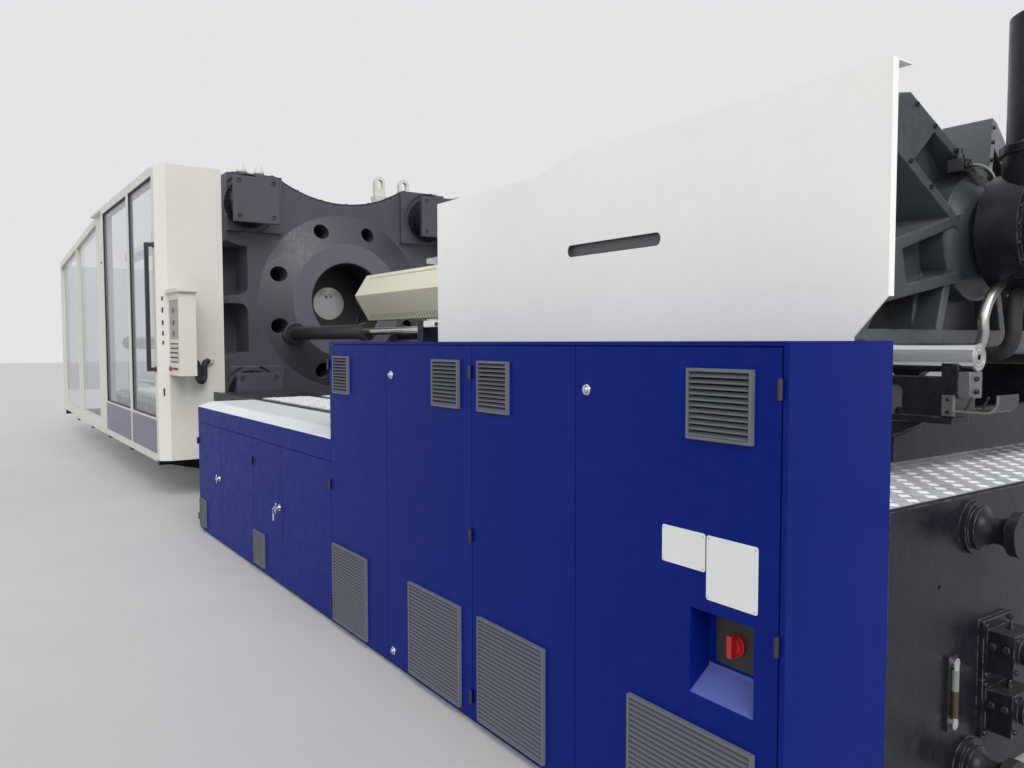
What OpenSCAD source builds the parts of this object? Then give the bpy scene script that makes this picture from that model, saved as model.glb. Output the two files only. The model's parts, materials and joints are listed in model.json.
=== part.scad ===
// Two-platen injection moulding machine, large size, with its clamp guards closed and its
// injection unit drawn back from the fixed platen.
// Lengths are in millimetres. The machine is drawn about its own zero, the injection side of
// the fixed platen, with the screw's axis above Y = 0, the clamp towards -X, the injection unit
// towards +X and the operator's side towards -Y. It is then moved so that the origin is the
// middle of its footprint on the floor.

/* [Overall] */
// Height of the clamp and screw axis above the floor
axis_z = 2200; // [2160:10:2300]
// Length of the clamp unit behind the fixed platen's injection side
clamp_l = 8700; // [8650:10:8900]
// Length of the injection bed in front of the fixed platen
inject_l = 8102; // [8060:2:8300]
// Width over the guards and the cabinets, without handles
machine_w = 4396; // [4380:2:4480]
// Clearance between sliding faces
slide_gap = 0.3; // [0.3:0.1:1]

/* [Beds] */
// Height of the beds' undersides above the floor
bed_clear = 120; // [80:5:160]
// Distance of the clamp bed's beams from the middle
clamp_beam_y = 1055; // [1030:5:1060]
// Width of a clamp bed beam
clamp_beam_w = 430; // [400:10:440]
// Thickness of the beams' flanges and ribs
beam_flange = 60; // [40:5:80]
// Thickness of the slide ways
way_t = 40; // [30:5:50]
// Width of a slide way
way_w = 220; // [180:10:260]
// Width of the injection bed
bed_w = 3376; // [3360:2:3420]
// Height of the injection bed's deck above the floor
bed_top = 1174; // [1150:2:1200]
// Plate thickness of the injection bed
bed_plate = 30; // [20:2:40]
// Distance of the injection bed's inner girders from the middle
girder_y = 1048; // [1040:1:1052]
// Width of an inner girder
girder_w = 420; // [400:5:430]
// Length of the oil tank at the bed's end
tank_l = 707; // [650:1:760]
// Thickness of the tread plates
tread_t = 8; // [5:1:12]
// Pitch of the levelling feet along the beds
foot_pitch = 1180; // [1100:20:1400]
// Radius of a levelling foot's pad
foot_r = 85; // [60:5:100]

/* [Platens] */
// Width of the platens
platen_w = 2800; // [2760:10:2860]
// Height of the platens at their corners
platen_h = 2840; // [2800:10:2860]
// Depth of the dip in the platens' top and bottom edges
platen_dip = 244; // [200:2:260]
// Width of that dip
platen_dip_w = 1640; // [1560:10:1700]
// Thickness of the fixed platen
fixed_t = 750; // [700:10:800]
// Thickness of the platens' mould plates
mould_plate = 270; // [240:10:280]
// Thickness of the moving platen
moving_t = 1400; // [1300:10:1500]
// Smallest mould height, between the platens at rest
mould_min = 1100; // [1000:10:1200]
// Opening stroke
stroke = 3200; // [3040:80:3200]
// Outer radius of the conical boss on the fixed platen
boss_r = 1050; // [1020:5:1060]
// Radius of the boss's flat face
boss_face_r = 690; // [660:5:710]
// Height of the boss
boss_h = 160; // [120:5:180]
// Radius of the nozzle bore
nozzle_bore_r = 450; // [420:2:460]
// Radius of the holes in the boss
ring_hole_r = 90; // [70:1:95]
// Radius of the circle that the boss's holes lie on
ring_hole_pcr = 884; // [870:2:894]
// Radius of the mould's locating bore
locate_r = 157.5; // [125:0.5:160]
// Depth of the locating bore
locate_d = 60; // [40:5:80]
// Radius of the thread bores for the mould bolts
mould_bolt_r = 15; // [10:1:20]
// Pitch of the mould bolts
mould_bolt_p = 210; // [200:10:220]

/* [Tie bars and clamping] */
// Distance of a tie bar's middle from the platen's side
tie_in_y = 235; // [230:5:250]
// Distance of a tie bar's middle from the platen's top or bottom
tie_in_z = 335; // [325:5:340]
// Radius of a tie bar
tie_r = 140; // [120:2:150]
// Clearance round a tie bar in the moving platen
tie_gap = 3; // [2:0.5:5]
// Pitch of the lock grooves
groove_p = 80; // [72:4:88]
// Number of lock grooves on a tie bar
groove_n = 16; // [12:1:17]
// Depth of a lock groove
groove_d = 12; // [8:1:12]
// Side of the square covers over the clamp cylinders
cover_side = 500; // [490:2:510]
// Thickness of those covers
cover_t = 60; // [40:2:80]
// Height of the covers' outer faces above the platen
cover_out = 370; // [350:5:380]
// Radius of a clamp cylinder
clamp_cyl_r = 235; // [210:5:245]
// Thickness of a split nut
nut_t = 300; // [260:10:340]
// Outer radius of a split nut
nut_r = 260; // [240:5:270]
// Travel of a nut half
nut_travel = 64; // [62:1:70]
// Radius of a stroke cylinder's tube
stroke_tube_r = 92; // [85:1:100]
// Radius of a stroke cylinder's rod
stroke_rod_r = 50; // [40:1:55]
// Stroke of the ejector
eject_stroke = 300; // [250:10:320]

/* [Clamp guard] */
// Height of the guard's top
guard_top = 3590; // [3560:2:3640]
// Height of the guard's underside
guard_low = 440; // [420:2:480]
// Gap between the platen's side and the folded post
post_gap = 115; // [108:1:128]
// Distance that the post reaches past the platen
post_x = 228; // [200:2:260]
// Chamfer on the post's outer corner, across
post_chamfer = 107; // [80:1:120]
// Length of that chamfer
post_chamfer_l = 74; // [50:1:80]
// Sheet thickness of the guards
sheet_t = 6; // [4:1:8]
// Length of a guard door
door_l = 3424; // [3360:2:3440]
// Thickness of a guard door
door_t = 60; // [50:2:64]
// Width of a guard door's stiles
stile_w = 110; // [80:5:140]
// Thickness of the clear panes
pane_t = 8; // [6:1:10]
// Length of a guard door's handle
handle_l = 1370; // [1200:10:1400]
// Side of the handle's section
handle_side = 40; // [30:1:44]
// Distance that the handle stands off
handle_off = 92; // [80:1:100]

/* [Operator panel] */
// Width of the panel's housing
panel_w = 168; // [150:2:190]
// Depth of the panel's housing
panel_d = 468; // [440:2:490]
// Height of the panel's housing
panel_h = 865; // [840:5:900]
// Radius of the conduit
conduit_r = 32; // [28:1:36]

/* [Cabinets] */
// Height of the tall cabinet
tall_h = 1710; // [1690:2:1740]
// Length of the tall cabinet
tall_l = 3225; // [3220:1:3260]
// Height of the low cabinet
low_h = 1129; // [1110:1:1150]
// Length of the low cabinet
low_l = 3072; // [3060:2:3100]
// Height of the low cabinet's fascia
fascia_h = 138; // [120:2:150]
// Thickness of a cabinet door
leaf_t = 24; // [20:1:28]
// Gap round a cabinet door
leaf_gap = 4; // [3:0.5:6]
// Width of the white cover strip, front to back
strip_w = 119; // [100:1:140]
// Rise of the white cover strip
strip_rise = 40; // [30:1:50]
// Pitch of the louvre slats
slat_p = 18; // [16:1:26]

/* [Injection unit] */
// Stroke of the injection carriage
carriage_stroke = 900; // [800:10:930]
// Stroke of the injection yoke
inject_stroke = 850; // [800:10:860]
// Radius of the guide bars
guide_r = 50; // [45:1:55]
// Distance of a guide bar from the middle
guide_y = 1048; // [1040:1:1052]
// Height of the guide bars below the axis
guide_drop = 550; // [540:2:560]
// Radius of the barrel
barrel_r = 190; // [170:2:195]
// Radius of the barrel's bore
screw_bore_r = 105; // [95:1:110]
// Half the height of the barrel's cover
hood_h = 250; // [240:2:260]
// Half the width of the barrel's cover
hood_w = 295; // [285:2:305]
// Radius of an injection cylinder's tube
inject_tube_r = 125; // [110:5:130]
// Radius of an injection cylinder's rod
inject_rod_r = 55; // [45:1:60]
// Height of the side guard's top
side_guard_top = 2592; // [2570:2:2620]

/* [Hidden] */
$fn = 48;

cast_black = [0.13, 0.13, 0.15];
cast_grey = [0.26, 0.25, 0.29];
cream = [0.82, 0.81, 0.77];
deep_blue = [0.06, 0.09, 0.42];
bright_steel = [0.78, 0.79, 0.80];
dark_grey = [0.25, 0.26, 0.27];
clear_green = [0.70, 0.80, 0.78, 0.35];

half_w = machine_w / 2;
bollard_l = 170;
row_x = (clamp_l - inject_l - bollard_l) / 2;
fit_gap = 0.5;

deck_z = bed_top - tread_t;
clamp_way_z = axis_z - platen_h / 2;
clamp_bed_top = clamp_way_z - way_t;
clamp_beam_out = clamp_beam_y + clamp_beam_w / 2;
clamp_beam_in = clamp_beam_y - clamp_beam_w / 2;
clamp_bed_x0 = -clamp_l + 100;
clamp_bed_x1 = 20;
clamp_bed_l = clamp_bed_x1 - clamp_bed_x0;
beam_bays = 8;
beam_bay = clamp_bed_l / beam_bays;
arm_z = guard_low - 100;

bed_x0 = cover_out + 40;
bed_mid_x1 = inject_l - tank_l;
girder_in = girder_y - girder_w / 2;
girder_out = girder_y + girder_w / 2;
bollard_y = bed_w / 2 - 522;
port_y = bed_w / 2 - 690;
gauge_y = bed_w / 2 - 393;
rail_h = 46;
rail_w = 120;
rail_x0 = 2300;
tread_x0 = 1700;

platen_x1 = -fixed_t;
tie_y = platen_w / 2 - tie_in_y;
tie_z = platen_h / 2 - tie_in_z;
web_x = platen_x1 + mould_plate;
moving_x0 = platen_x1 - mould_min;
moving_x1 = moving_x0 - moving_t;
dip_r = (pow(platen_dip_w / 2, 2) + pow(platen_dip, 2)) / (2 * platen_dip);
pad_in_y = platen_w / 2 - 625;
pad_in_z = platen_h / 2 - 650;
pad_h = 60;
pocket_in = platen_w / 2 - 230;
pocket_arc = 480;
rib_half = 45;

plug_flange_r = 205;
plug_flange_t = 12;
tie_x0 = cover_out - cover_t - fit_gap;
groove_x0 = moving_x1 - 10;
tie_x1 = moving_x1 - stroke - nut_t - 150;
nut_hole_r = tie_r + fit_gap;
nut_tooth_w = groove_p / 2 - 8;

stroke_y = platen_w / 2 + stroke_tube_r + 12;
stroke_dz = 500;
stroke_tube_l = stroke + 350;
stroke_tube_x1 = moving_x0 - stroke_tube_l;

door_x1 = post_x - post_chamfer_l - 8;
door_x0 = door_x1 - door_l;
door_y = half_w - door_t;
track_t = 30;
door_z0 = guard_low + slide_gap;
door_z1 = guard_top - track_t - slide_gap;
frame_y1 = door_y - 10;
frame_t = 60;
frame_x1 = -20;
clear_x = -4230;
far_top = 3260;
rod_bracket_z = axis_z - 389;
frame_y0 = frame_y1 - frame_t;
window_z0 = 890;
handle_z = 1400;

panel_y = half_w - post_chamfer;
panel_z = 1361;
conduit_y = -panel_y + panel_w;
conduit_z = panel_z + 140;
conduit_run = 250;
conduit_gland = 40;
conduit_x = post_x + conduit_run;
post_in = platen_w / 2 + post_gap;

low_x0 = inject_l - tall_l - low_l;
tall_x0 = inject_l - tall_l;
cab_front = half_w - leaf_t;
cab_back = bed_w / 2;
tall_splits = [0, 755, 1591, 2307, tall_l - 22];
low_splits = [0, 724, 1562, 2203, low_l];
plinth = 28;

guide_z = axis_z - guide_drop;
carriage_z0 = deck_z + rail_h + slide_gap;
beam_y = guide_y;
beam_t = 90;
beam_top = guide_z - guide_r - 24;
carriage_x0 = inject_l - 4800;
guide_x1 = inject_l - 48;
block_x0 = inject_l - 3240;
block_l = 900;
hood_x0 = 1000;
tip_l = 380;
band_t = 22;
band_l = 330;
band_pitch = 440;
nozzle_x0 = 450;
yoke_x = inject_l - 762;
yoke_t = 190;
arm_up_y = 430;
arm_up_z = 470;
arm_low_y = 612;
arm_low_z = -180;
arm_step = 4;
bushing_gap = 3;
bushing_wall = 45;
carriage_cyl_y = 678;
carriage_cyl_z = axis_z - 389;
side_guard_y = bed_w / 2 - 40;
side_guard_x0 = 5218;
side_guard_x1 = inject_l - 43;
button_travel = 6;

// Box from its low corner to its high corner
module block(x0, x1, y0, y1, z0, z1) {
    translate([x0, y0, z0]) cube([x1 - x0, y1 - y0, z1 - z0]);
}

// Round bar along X
module bar(x0, x1, y, z, r) {
    translate([x0, y, z]) rotate([0, 90, 0]) cylinder(h = x1 - x0, r = r);
}

// Outline drawn in Y and Z about the axis, made solid along X from x0 to x1
module along_x(x0, x1) {
    translate([x0, 0, axis_z]) rotate([90, 0, 90]) linear_extrude(height = x1 - x0) children();
}

// Outline drawn in X and Z, made solid along Y from y0 to y1
module along_y(y0, y1) {
    translate([0, y1, 0]) rotate([90, 0, 0]) linear_extrude(height = y1 - y0) children();
}

// The same piece on the operator's side and on the rear side
module both_sides() {
    children();
    mirror([0, 1, 0]) children();
}

// The same piece at the four tie bars
module at_tie_bars() {
    for (sy = [-1, 1], sz = [-1, 1]) translate([0, sy * tie_y, axis_z + sz * tie_z]) children();
}

// Rectangle with round corners, from its low corner to its high corner
module round_rect(x0, x1, y0, y1, r) {
    translate([x0 + r, y0]) square([x1 - x0 - 2 * r, y1 - y0]);
    translate([x0, y0 + r]) square([x1 - x0, y1 - y0 - 2 * r]);
    for (x = [x0 + r, x1 - r], y = [y0 + r, y1 - r]) translate([x, y]) circle(r = r);
}

// Outline of both platens, with the dips in the top and bottom edges
module platen_outline() {
    difference() {
        square([platen_w, platen_h], center = true);
        for (s = [-1, 1]) translate([0, s * (platen_h / 2 - platen_dip + dip_r)]) {
            circle(r = dip_r, $fn = 160);
        }
    }
}

// Places of the mould bolts' thread bores on a platen, leaving the middle free
module at_mould_bolts() {
    for (iy = [1:3], iz = [1:3], sy = [-1, 1], sz = [-1, 1]) if (iy + iz > 3) {
        translate([0, sy * (iy + 0.5) * mould_bolt_p, axis_z + sz * (iz + 0.5) * mould_bolt_p]) {
            children();
        }
    }
}

// One girder of the clamp bed with pockets between its ribs
module clamp_beam() {
    rib = beam_flange * 0.6;
    web = beam_flange;
    difference() {
        block(clamp_bed_x0, clamp_bed_x1, clamp_beam_in, clamp_beam_out, bed_clear, clamp_bed_top);
        for (i = [0:beam_bays - 1], side = [0, 1]) {
            y0 = side == 0 ? clamp_beam_in - 1 : clamp_beam_y + web / 2;
            y1 = side == 0 ? clamp_beam_y - web / 2 : clamp_beam_out + 1;
            x0 = clamp_bed_x0 + i * beam_bay + rib;
            along_y(y0, y1) {
                round_rect(x0, x0 + beam_bay - 2 * rib, bed_clear + beam_flange,
                    clamp_bed_top - beam_flange, 50);
            }
        }
    }
}

// Bracket that carries the guard's sill beside the clamp bed
module guard_arm(x) {
    arm_w = 100;
    block(x - arm_w / 2, x + arm_w / 2, clamp_beam_y, half_w - 60, arm_z, guard_low - track_t);
    translate([x + 10, 0, 0]) rotate([90, 0, -90]) linear_extrude(height = 20) {
        polygon([[-clamp_beam_out + 1, arm_z + 1], [-half_w + 160, arm_z + 1],
            [-clamp_beam_out + 1, bed_clear + 40]]);
    }
}

module clamp_bed() color(cast_black) {
    union() {
        both_sides() {
            clamp_beam();
            for (i = [0:5]) mirror([0, 1, 0]) guard_arm(clamp_bed_x1 - 250 - i * (clamp_bed_l - 500) / 5);
        }
        for (i = [0:5]) {
            x = clamp_bed_x0 + 60 + i * (clamp_bed_l - 320) / 5;
            block(x, x + 200, -clamp_beam_y, clamp_beam_y, bed_clear + 90, clamp_bed_top - 90);
        }
    }
}

// Side profile of the injection bed: its plates between the floor and the deck
module bed_side() {
    rim = bed_w / 2 - bed_plate;
    top = deck_z;
    difference() {
        block(bed_x0, inject_l, rim, bed_w / 2, bed_clear, bed_top);
        for (i = [0:2]) {
            x0 = bed_x0 + 900 + i * 1700;
            along_y(rim - 1, bed_w / 2 + 1) {
                round_rect(x0, x0 + 900, bed_clear + 260, bed_top - 300, 120);
            }
        }
    }
    block(bed_x0, inject_l - 1, girder_in, girder_in + bed_plate, bed_clear, top);
    block(bed_x0, inject_l - 1, girder_out - bed_plate, girder_out, bed_clear, top - 1);
    block(bed_x0, inject_l - 1, girder_in, rim + 1, top - bed_plate, top);
    for (i = [0:5]) {
        x = bed_x0 + (bed_mid_x1 - bed_x0) * i / 5;
        block(x, x + bed_plate, girder_in + 1, rim + 1, bed_clear, top - 1);
    }
}

// Pull bollard on the bed's end face: flange, waist and head turned from one bar
module bollard(y, z) {
    translate([inject_l - 1, y, z]) rotate([0, 90, 0]) rotate_extrude() {
        difference() {
            union() {
                square([93, 23]);
                translate([0, 20]) square([76, bollard_l - 19]);
            }
            translate([96, 89]) circle(r = 52);
        }
    }
}

// Valve block on a square flange on the bed's end face
module port_block(y, z) {
    block(inject_l - 1, inject_l + 20, y - 105, y + 105, z - 105, z + 105);
    block(inject_l + 10, inject_l + 110, y - 80, y + 80, z - 80, z + 70);
    translate([inject_l + 100, y, z]) rotate([0, 90, 0]) cylinder(h = 30, r = 46);
}

module injection_bed() color(cast_black) {
    top = deck_z;
    difference() {
        union() {
            both_sides() bed_side();
            block(inject_l - bed_plate, inject_l, -bed_w / 2, bed_w / 2, bed_clear, bed_top);
            block(bed_mid_x1, bed_mid_x1 + bed_plate, -bed_w / 2 + 1, bed_w / 2 - 1, bed_clear, top);
            block(bed_mid_x1, inject_l - 1, -girder_in - 1, girder_in + 1, top - bed_plate, top);
            block(bed_mid_x1, inject_l - 1, -bed_w / 2 + 1, bed_w / 2 - 1, bed_clear,
                bed_clear + bed_plate);
            for (s = [-1, 1]) block(clamp_bed_x1, bed_x0 + 60, s > 0 ? girder_in : -girder_out,
                s > 0 ? girder_out : -girder_in, bed_clear, clamp_bed_top - 40);
            for (i = [0:3]) {
                x = bed_x0 + i * (bed_mid_x1 - bed_x0) / 4;
                block(x, x + 160, -girder_in - 1, girder_in + 1, bed_clear, bed_clear + 420);
            }
            for (s = [-1, 1]) {
                bollard(s * bollard_y, 1062);
                bollard(s * bollard_y, 215);
                port_block(s * port_y, 612);
                port_block(s * port_y, 400);
            }
        }
        for (s = [-1, 1]) bar(inject_l - bed_plate - 1, inject_l + 1, s * (bed_w / 2 - 312), 882, 9);
    }
}

module slide_ways() color(bright_steel) {
    both_sides() {
        block(clamp_bed_x0 + 40, clamp_bed_x1, clamp_beam_y - way_w / 2, clamp_beam_y + way_w / 2,
            clamp_bed_top, clamp_way_z);
        difference() {
            block(rail_x0, bed_mid_x1 - 20, girder_y - rail_w / 2, girder_y + rail_w / 2, deck_z,
                deck_z + rail_h);
            for (s = [-1, 1]) block(rail_x0 - 1, bed_mid_x1, girder_y + s * rail_w / 2 - 12,
                girder_y + s * rail_w / 2 + 12, deck_z + 12, deck_z + rail_h - 14);
        }
    }
}

// Foot on its screw under a bed's plate
module levelling_foot(x, y) {
    pad_t = 26;
    translate([x, y, 0]) {
        cylinder(h = pad_t, r = foot_r);
        translate([0, 0, pad_t - 1]) cylinder(h = 20, r1 = foot_r * 0.7, r2 = 40);
        cylinder(h = bed_clear, r = 30);
        translate([0, 0, bed_clear - 30]) cylinder(h = 30, r = 55, $fn = 6);
    }
}

module levelling_feet() color(dark_grey) {
    clamp_n = floor((clamp_bed_l - 400) / foot_pitch);
    inject_n = floor((inject_l - bed_x0 - 400) / foot_pitch);
    both_sides() {
        for (i = [0:clamp_n]) {
            levelling_foot(clamp_bed_x0 + 200 + i * (clamp_bed_l - 400) / clamp_n, clamp_beam_y + 110);
        }
        for (i = [0:inject_n]) {
            levelling_foot(bed_x0 + 200 + i * (inject_l - bed_x0 - 400) / inject_n, girder_out - 20);
        }
    }
}

module tread_plates() color(bright_steel) {
    end_in = inject_l - bed_plate - fit_gap;
    pitch = (bed_mid_x1 - tread_x0) / 4;
    block(bed_mid_x1 + fit_gap, end_in, -bed_w / 2 + bed_plate + fit_gap,
        bed_w / 2 - bed_plate - fit_gap, deck_z, bed_top);
    both_sides() {
        for (i = [0:3]) {
            x0 = tread_x0 + i * pitch;
            block(x0, x0 + pitch - 2, girder_y + rail_w / 2 + 6, bed_w / 2 - 110, deck_z, bed_top);
            block(x0, x0 + pitch - 2, girder_in + 1, girder_y - rail_w / 2 - 6, deck_z, bed_top);
        }
    }
}

module fixed_platen() color(cast_grey) {
    difference() {
        union() {
            along_x(platen_x1, 0) platen_outline();
            translate([-1, 0, axis_z]) rotate([0, 90, 0]) {
                cylinder(h = boss_h + 1, r1 = boss_r, r2 = boss_face_r, $fn = 120);
            }
            for (sy = [-1, 1], sz = [-1, 1]) {
                y = sy > 0 ? pad_in_y : -platen_w / 2;
                z = sz > 0 ? pad_in_z : -platen_h / 2;
                block(-1, pad_h, y, y + platen_w / 2 - pad_in_y, axis_z + z,
                    axis_z + z + platen_h / 2 - pad_in_z);
            }
            both_sides() bar(-1, boss_h + 10, carriage_cyl_y, carriage_cyl_z, 130);
        }
        bar(web_x, boss_h + 1, 0, axis_z, nozzle_bore_r, $fn = 96);
        translate([boss_h - 20, 0, axis_z]) rotate([0, 90, 0]) {
            cylinder(h = 21, r1 = nozzle_bore_r, r2 = nozzle_bore_r + 21, $fn = 96);
        }
        bar(platen_x1 - 1, web_x + 1, 0, axis_z, plug_flange_r * 0.6);
        bar(platen_x1 - 1, platen_x1 + locate_d, 0, axis_z, locate_r);
        for (a = [20, 70, 110, 160, 200, 250, 290, 340]) {
            bar(web_x, boss_h + 1, ring_hole_pcr * cos(a), axis_z + ring_hole_pcr * sin(a),
                ring_hole_r);
        }
        for (sy = [-1, 1], sz = [-1, 1]) scale([1, sy, 1]) along_x(web_x, pad_h + 1) scale([1, sz]) {
            difference() {
                round_rect(pocket_in, platen_w / 2 + 200, rib_half, tie_z - pocket_arc + 160, 110);
                translate([tie_y, tie_z]) circle(r = pocket_arc, $fn = 96);
            }
        }
        at_tie_bars() {
            bar(platen_x1 - 1, pad_h + 1, 0, 0, tie_r + fit_gap);
            bar(pad_h - 30, pad_h + 1, 0, 0, clamp_cyl_r + 95);
        }
        at_mould_bolts() bar(platen_x1 - 1, platen_x1 + 70, 0, 0, mould_bolt_r, $fn = 24);
    }
}

module clamp_cylinders() color(cast_black) {
    flange_t = 30;
    at_tie_bars() difference() {
        union() {
            bar(pad_h - 30, pad_h - 30 + flange_t, 0, 0, clamp_cyl_r + 40);
            bar(pad_h - 30, cover_out - cover_t, 0, 0, clamp_cyl_r);
        }
        bar(pad_h - 41, cover_out, 0, 0, tie_r + fit_gap);
    }
}

module cylinder_covers() color(cast_grey) {
    bolt_at = cover_side / 2 - 60;
    at_tie_bars() difference() {
        union() {
            block(cover_out - cover_t, cover_out, -cover_side / 2, cover_side / 2, -cover_side / 2,
                cover_side / 2);
            for (y = [-bolt_at, bolt_at], z = [-bolt_at, bolt_at]) {
                bar(cover_out - 25, cover_out - 1, y, z, 18);
            }
        }
        for (y = [-bolt_at, bolt_at], z = [-bolt_at, bolt_at]) {
            difference() {
                bar(cover_out - 24, cover_out + 1, y, z, 27);
                bar(cover_out - 25, cover_out - 4, y, z, 19);
            }
            bar(cover_out - 14, cover_out + 2, y, z, 10, $fn = 6);
        }
    }
}

module tie_bars() color(bright_steel) {
    thin_x = groove_x0 - groove_n * groove_p;
    at_tie_bars() difference() {
        union() {
            bar(thin_x - 1, tie_x0, 0, 0, tie_r);
            bar(tie_x1, thin_x, 0, 0, tie_r - groove_d - 1);
        }
        for (i = [0:groove_n - 1]) difference() {
            x = groove_x0 - i * groove_p;
            bar(x - groove_p / 2, x, 0, 0, tie_r + 5);
            bar(x - groove_p / 2 - 1, x + 1, 0, 0, tie_r - groove_d);
        }
    }
}

module nozzle_plug() color(bright_steel) {
    difference() {
        union() {
            bar(web_x, web_x + plug_flange_t, 0, axis_z, plug_flange_r, $fn = 64);
            bar(platen_x1 + locate_d + 20, web_x + 1, 0, axis_z, plug_flange_r * 0.6 - fit_gap);
        }
        bar(web_x - 30, web_x + 20, -35, axis_z + 78, 24);
        bar(web_x - 30, web_x + 20, 30, axis_z + 86, 13);
    }
}

// Height of the platen's top edge at a distance from the middle
function top_edge(y) = axis_z + platen_h / 2 - platen_dip + dip_r - sqrt(dip_r * dip_r - y * y);

module lifting_lug(y) {
    lug_w = 150;
    lug_t = 60;
    x = -fixed_t / 2;
    z = top_edge(min(y + lug_w / 2 + 10, platen_dip_w / 2));
    z1 = axis_z + platen_h / 2 + 240;
    difference() {
        union() {
            block(x - 70, x + 70, y - lug_w / 2 - 10, y + lug_w / 2 + 10, z - 60, z + 24);
            block(x - lug_t / 2, x + lug_t / 2, y - lug_w / 2, y + lug_w / 2, z + 1, z1 - lug_w / 2);
            translate([x, y, z1 - lug_w / 2]) rotate([0, 90, 0]) {
                cylinder(h = lug_t, r = lug_w / 2, center = true);
            }
        }
        for (dz = [0, 45]) translate([x, y, z1 - lug_w / 2 - dz]) rotate([0, 90, 0]) {
            cylinder(h = lug_t + 2, r = 38, center = true);
        }
        block(x - lug_t, x + lug_t, y - 38, y + 38, z1 - lug_w / 2 - 45, z1 - lug_w / 2);
        along_x(x - 80, x + 80) platen_outline();
    }
}

module lifting_lugs() color(cream) {
    lifting_lug(680);
    lifting_lug(1030);
}

module breather_caps() color(cream) {
    for (y = [-1110, -900]) translate([-fixed_t / 2, y, axis_z + platen_h / 2]) rotate_extrude() {
        union() {
            square([42, 105]);
            square([62, 14]);
            polygon([[0, 100], [62, 100], [62, 122], [30, 182], [16, 205], [0, 205]]);
        }
    }
}

// Folded post beside the platen, open towards the clamp and closed at its top and bottom
module guard_post() {
    z1 = guard_top + 10;
    difference() {
        translate([0, 0, guard_low - 6]) linear_extrude(height = z1 - guard_low + 6) {
            post_plan(0);
        }
        translate([0, 0, guard_low - 6 + sheet_t]) {
            linear_extrude(height = z1 - guard_low + 6 - 2 * sheet_t) post_plan(sheet_t);
        }
    }
}

// Plan of the post, drawn smaller by an inset on its outer sides
module post_plan(inset) {
    y0 = post_in + inset;
    y1 = half_w - inset * 1.5;
    x1 = post_x - inset;
    x2 = post_x - post_chamfer_l - inset * 0.7;
    step = frame_y1 + 2 - inset;
    back = frame_x1 + fit_gap - (inset > 0 ? 1 : 0);
    polygon([[back, y0], [x1, y0], [x1, half_w - post_chamfer - inset * 0.6], [x2, y1],
        [x2 - (inset > 0 ? 0.1 : 4), y1], [x2 - (inset > 0 ? 0.1 : 4), step], [back, step]]);
}

module guard_posts() color(cream) {
    both_sides() guard_post();
    on_conduit() translate([conduit_run * sqrt(2) - conduit_gland, 0, 0]) rotate([0, 90, 0]) {
        cylinder(h = conduit_gland + 60, r = conduit_r + 12, $fn = 6);
    }
}

// Guard frame beside the clamp: sill, header with the door's track, stiles and end post
module guard_frame() {
    stile = 90;
    x0 = -clamp_l;
    low = [guard_low, guard_low + 120];
    union() {
        block(x0, frame_x1, frame_y0, frame_y1, low[0] - track_t, low[1]);
        block(clear_x, frame_x1, frame_y0, frame_y1, guard_top - 120, guard_top);
        along_y(frame_y0, frame_y1) polygon([[clear_x + 1, guard_top], [clear_x + 1, guard_top - 110],
            [x0, far_top - 110], [x0, far_top]]);
        block(frame_x1 - 80, frame_x1, frame_y0, frame_y1, low[0], guard_top);
        block(x0, x0 + stile, frame_y0, frame_y1, low[0], far_top);
        block((x0 + clear_x) / 2, (x0 + clear_x) / 2 + stile, frame_y0, frame_y1, low[0],
            (guard_top + far_top) / 2 - 60);
        block(door_x0 - 30, door_x0 + 60, frame_y0, frame_y1 + 4, low[0], guard_top);
        block(clear_x, door_x0 - 420, frame_y0, frame_y1, low[0], guard_top);
        block(door_x0 - 421, door_x0 - 29, frame_y0, frame_y1 - 30, low[0], guard_top);
        block(clear_x, frame_x1, frame_y1 - 10, half_w, guard_top - track_t, guard_top);
        block(door_x0 - door_l - 60, frame_x1, frame_y1 - 10, half_w - 6, low[0] - track_t, low[0]);
    }
}

module front_guard_frame() color(cream) {
    mirror([0, 1, 0]) guard_frame();
}

module rear_guard_frame() color(cream) {
    guard_frame();
}

module fixed_windows() color(clear_green) {
    x0 = -clamp_l;
    mid = (x0 + clear_x) / 2;
    y0 = frame_y0 - pane_t;
    both_sides() {
        for (x = [[x0 + 30, mid + 44], [mid + 46, clear_x + 60]]) {
            along_y(y0, frame_y0) polygon([[x[0], guard_low + 60], [x[1], guard_low + 60],
                [x[1], pane_top(x[1])], [x[0], pane_top(x[0])]]);
        }
    }
    block(x0 + 20, x0 + 20 + pane_t, -frame_y0, frame_y0,
        clamp_way_z + fit_gap, far_top - 60);
}

// Height of the clear panes' sloping top edge at a distance along the guard
function pane_top(x) =
    far_top - 50 + (guard_top - far_top) * (min(x, clear_x) + clamp_l) / (clear_x + clamp_l);

// Sliding guard door: stiles, rails, a middle bar and a solid lower panel
module door_frame() {
    mid = door_x0 + door_l * 0.56;
    difference() {
        block(door_x0, door_x1, door_y, half_w, door_z0, door_z1);
        for (x = [[door_x0 + stile_w, mid - 60], [mid + 60, door_x1 - stile_w]]) {
            block(x[0], x[1], door_y - 1, half_w + 1, window_z0, door_z1 - 70);
            block(x[0], x[1], door_y - 1, half_w - sheet_t, door_z0 + 60, window_z0 - 40);
        }
    }
}

// The two clear panes of a guard door, set in the middle of its thickness
module door_window() {
    mid = door_x0 + door_l * 0.56;
    y = half_w - door_t / 2;
    for (x = [[door_x0 + stile_w, mid - 60], [mid + 60, door_x1 - stile_w]]) {
        block(x[0] + fit_gap, x[1] - fit_gap, y - pane_t / 2, y + pane_t / 2, window_z0 + fit_gap,
            door_z1 - 70 - fit_gap);
    }
}

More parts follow.
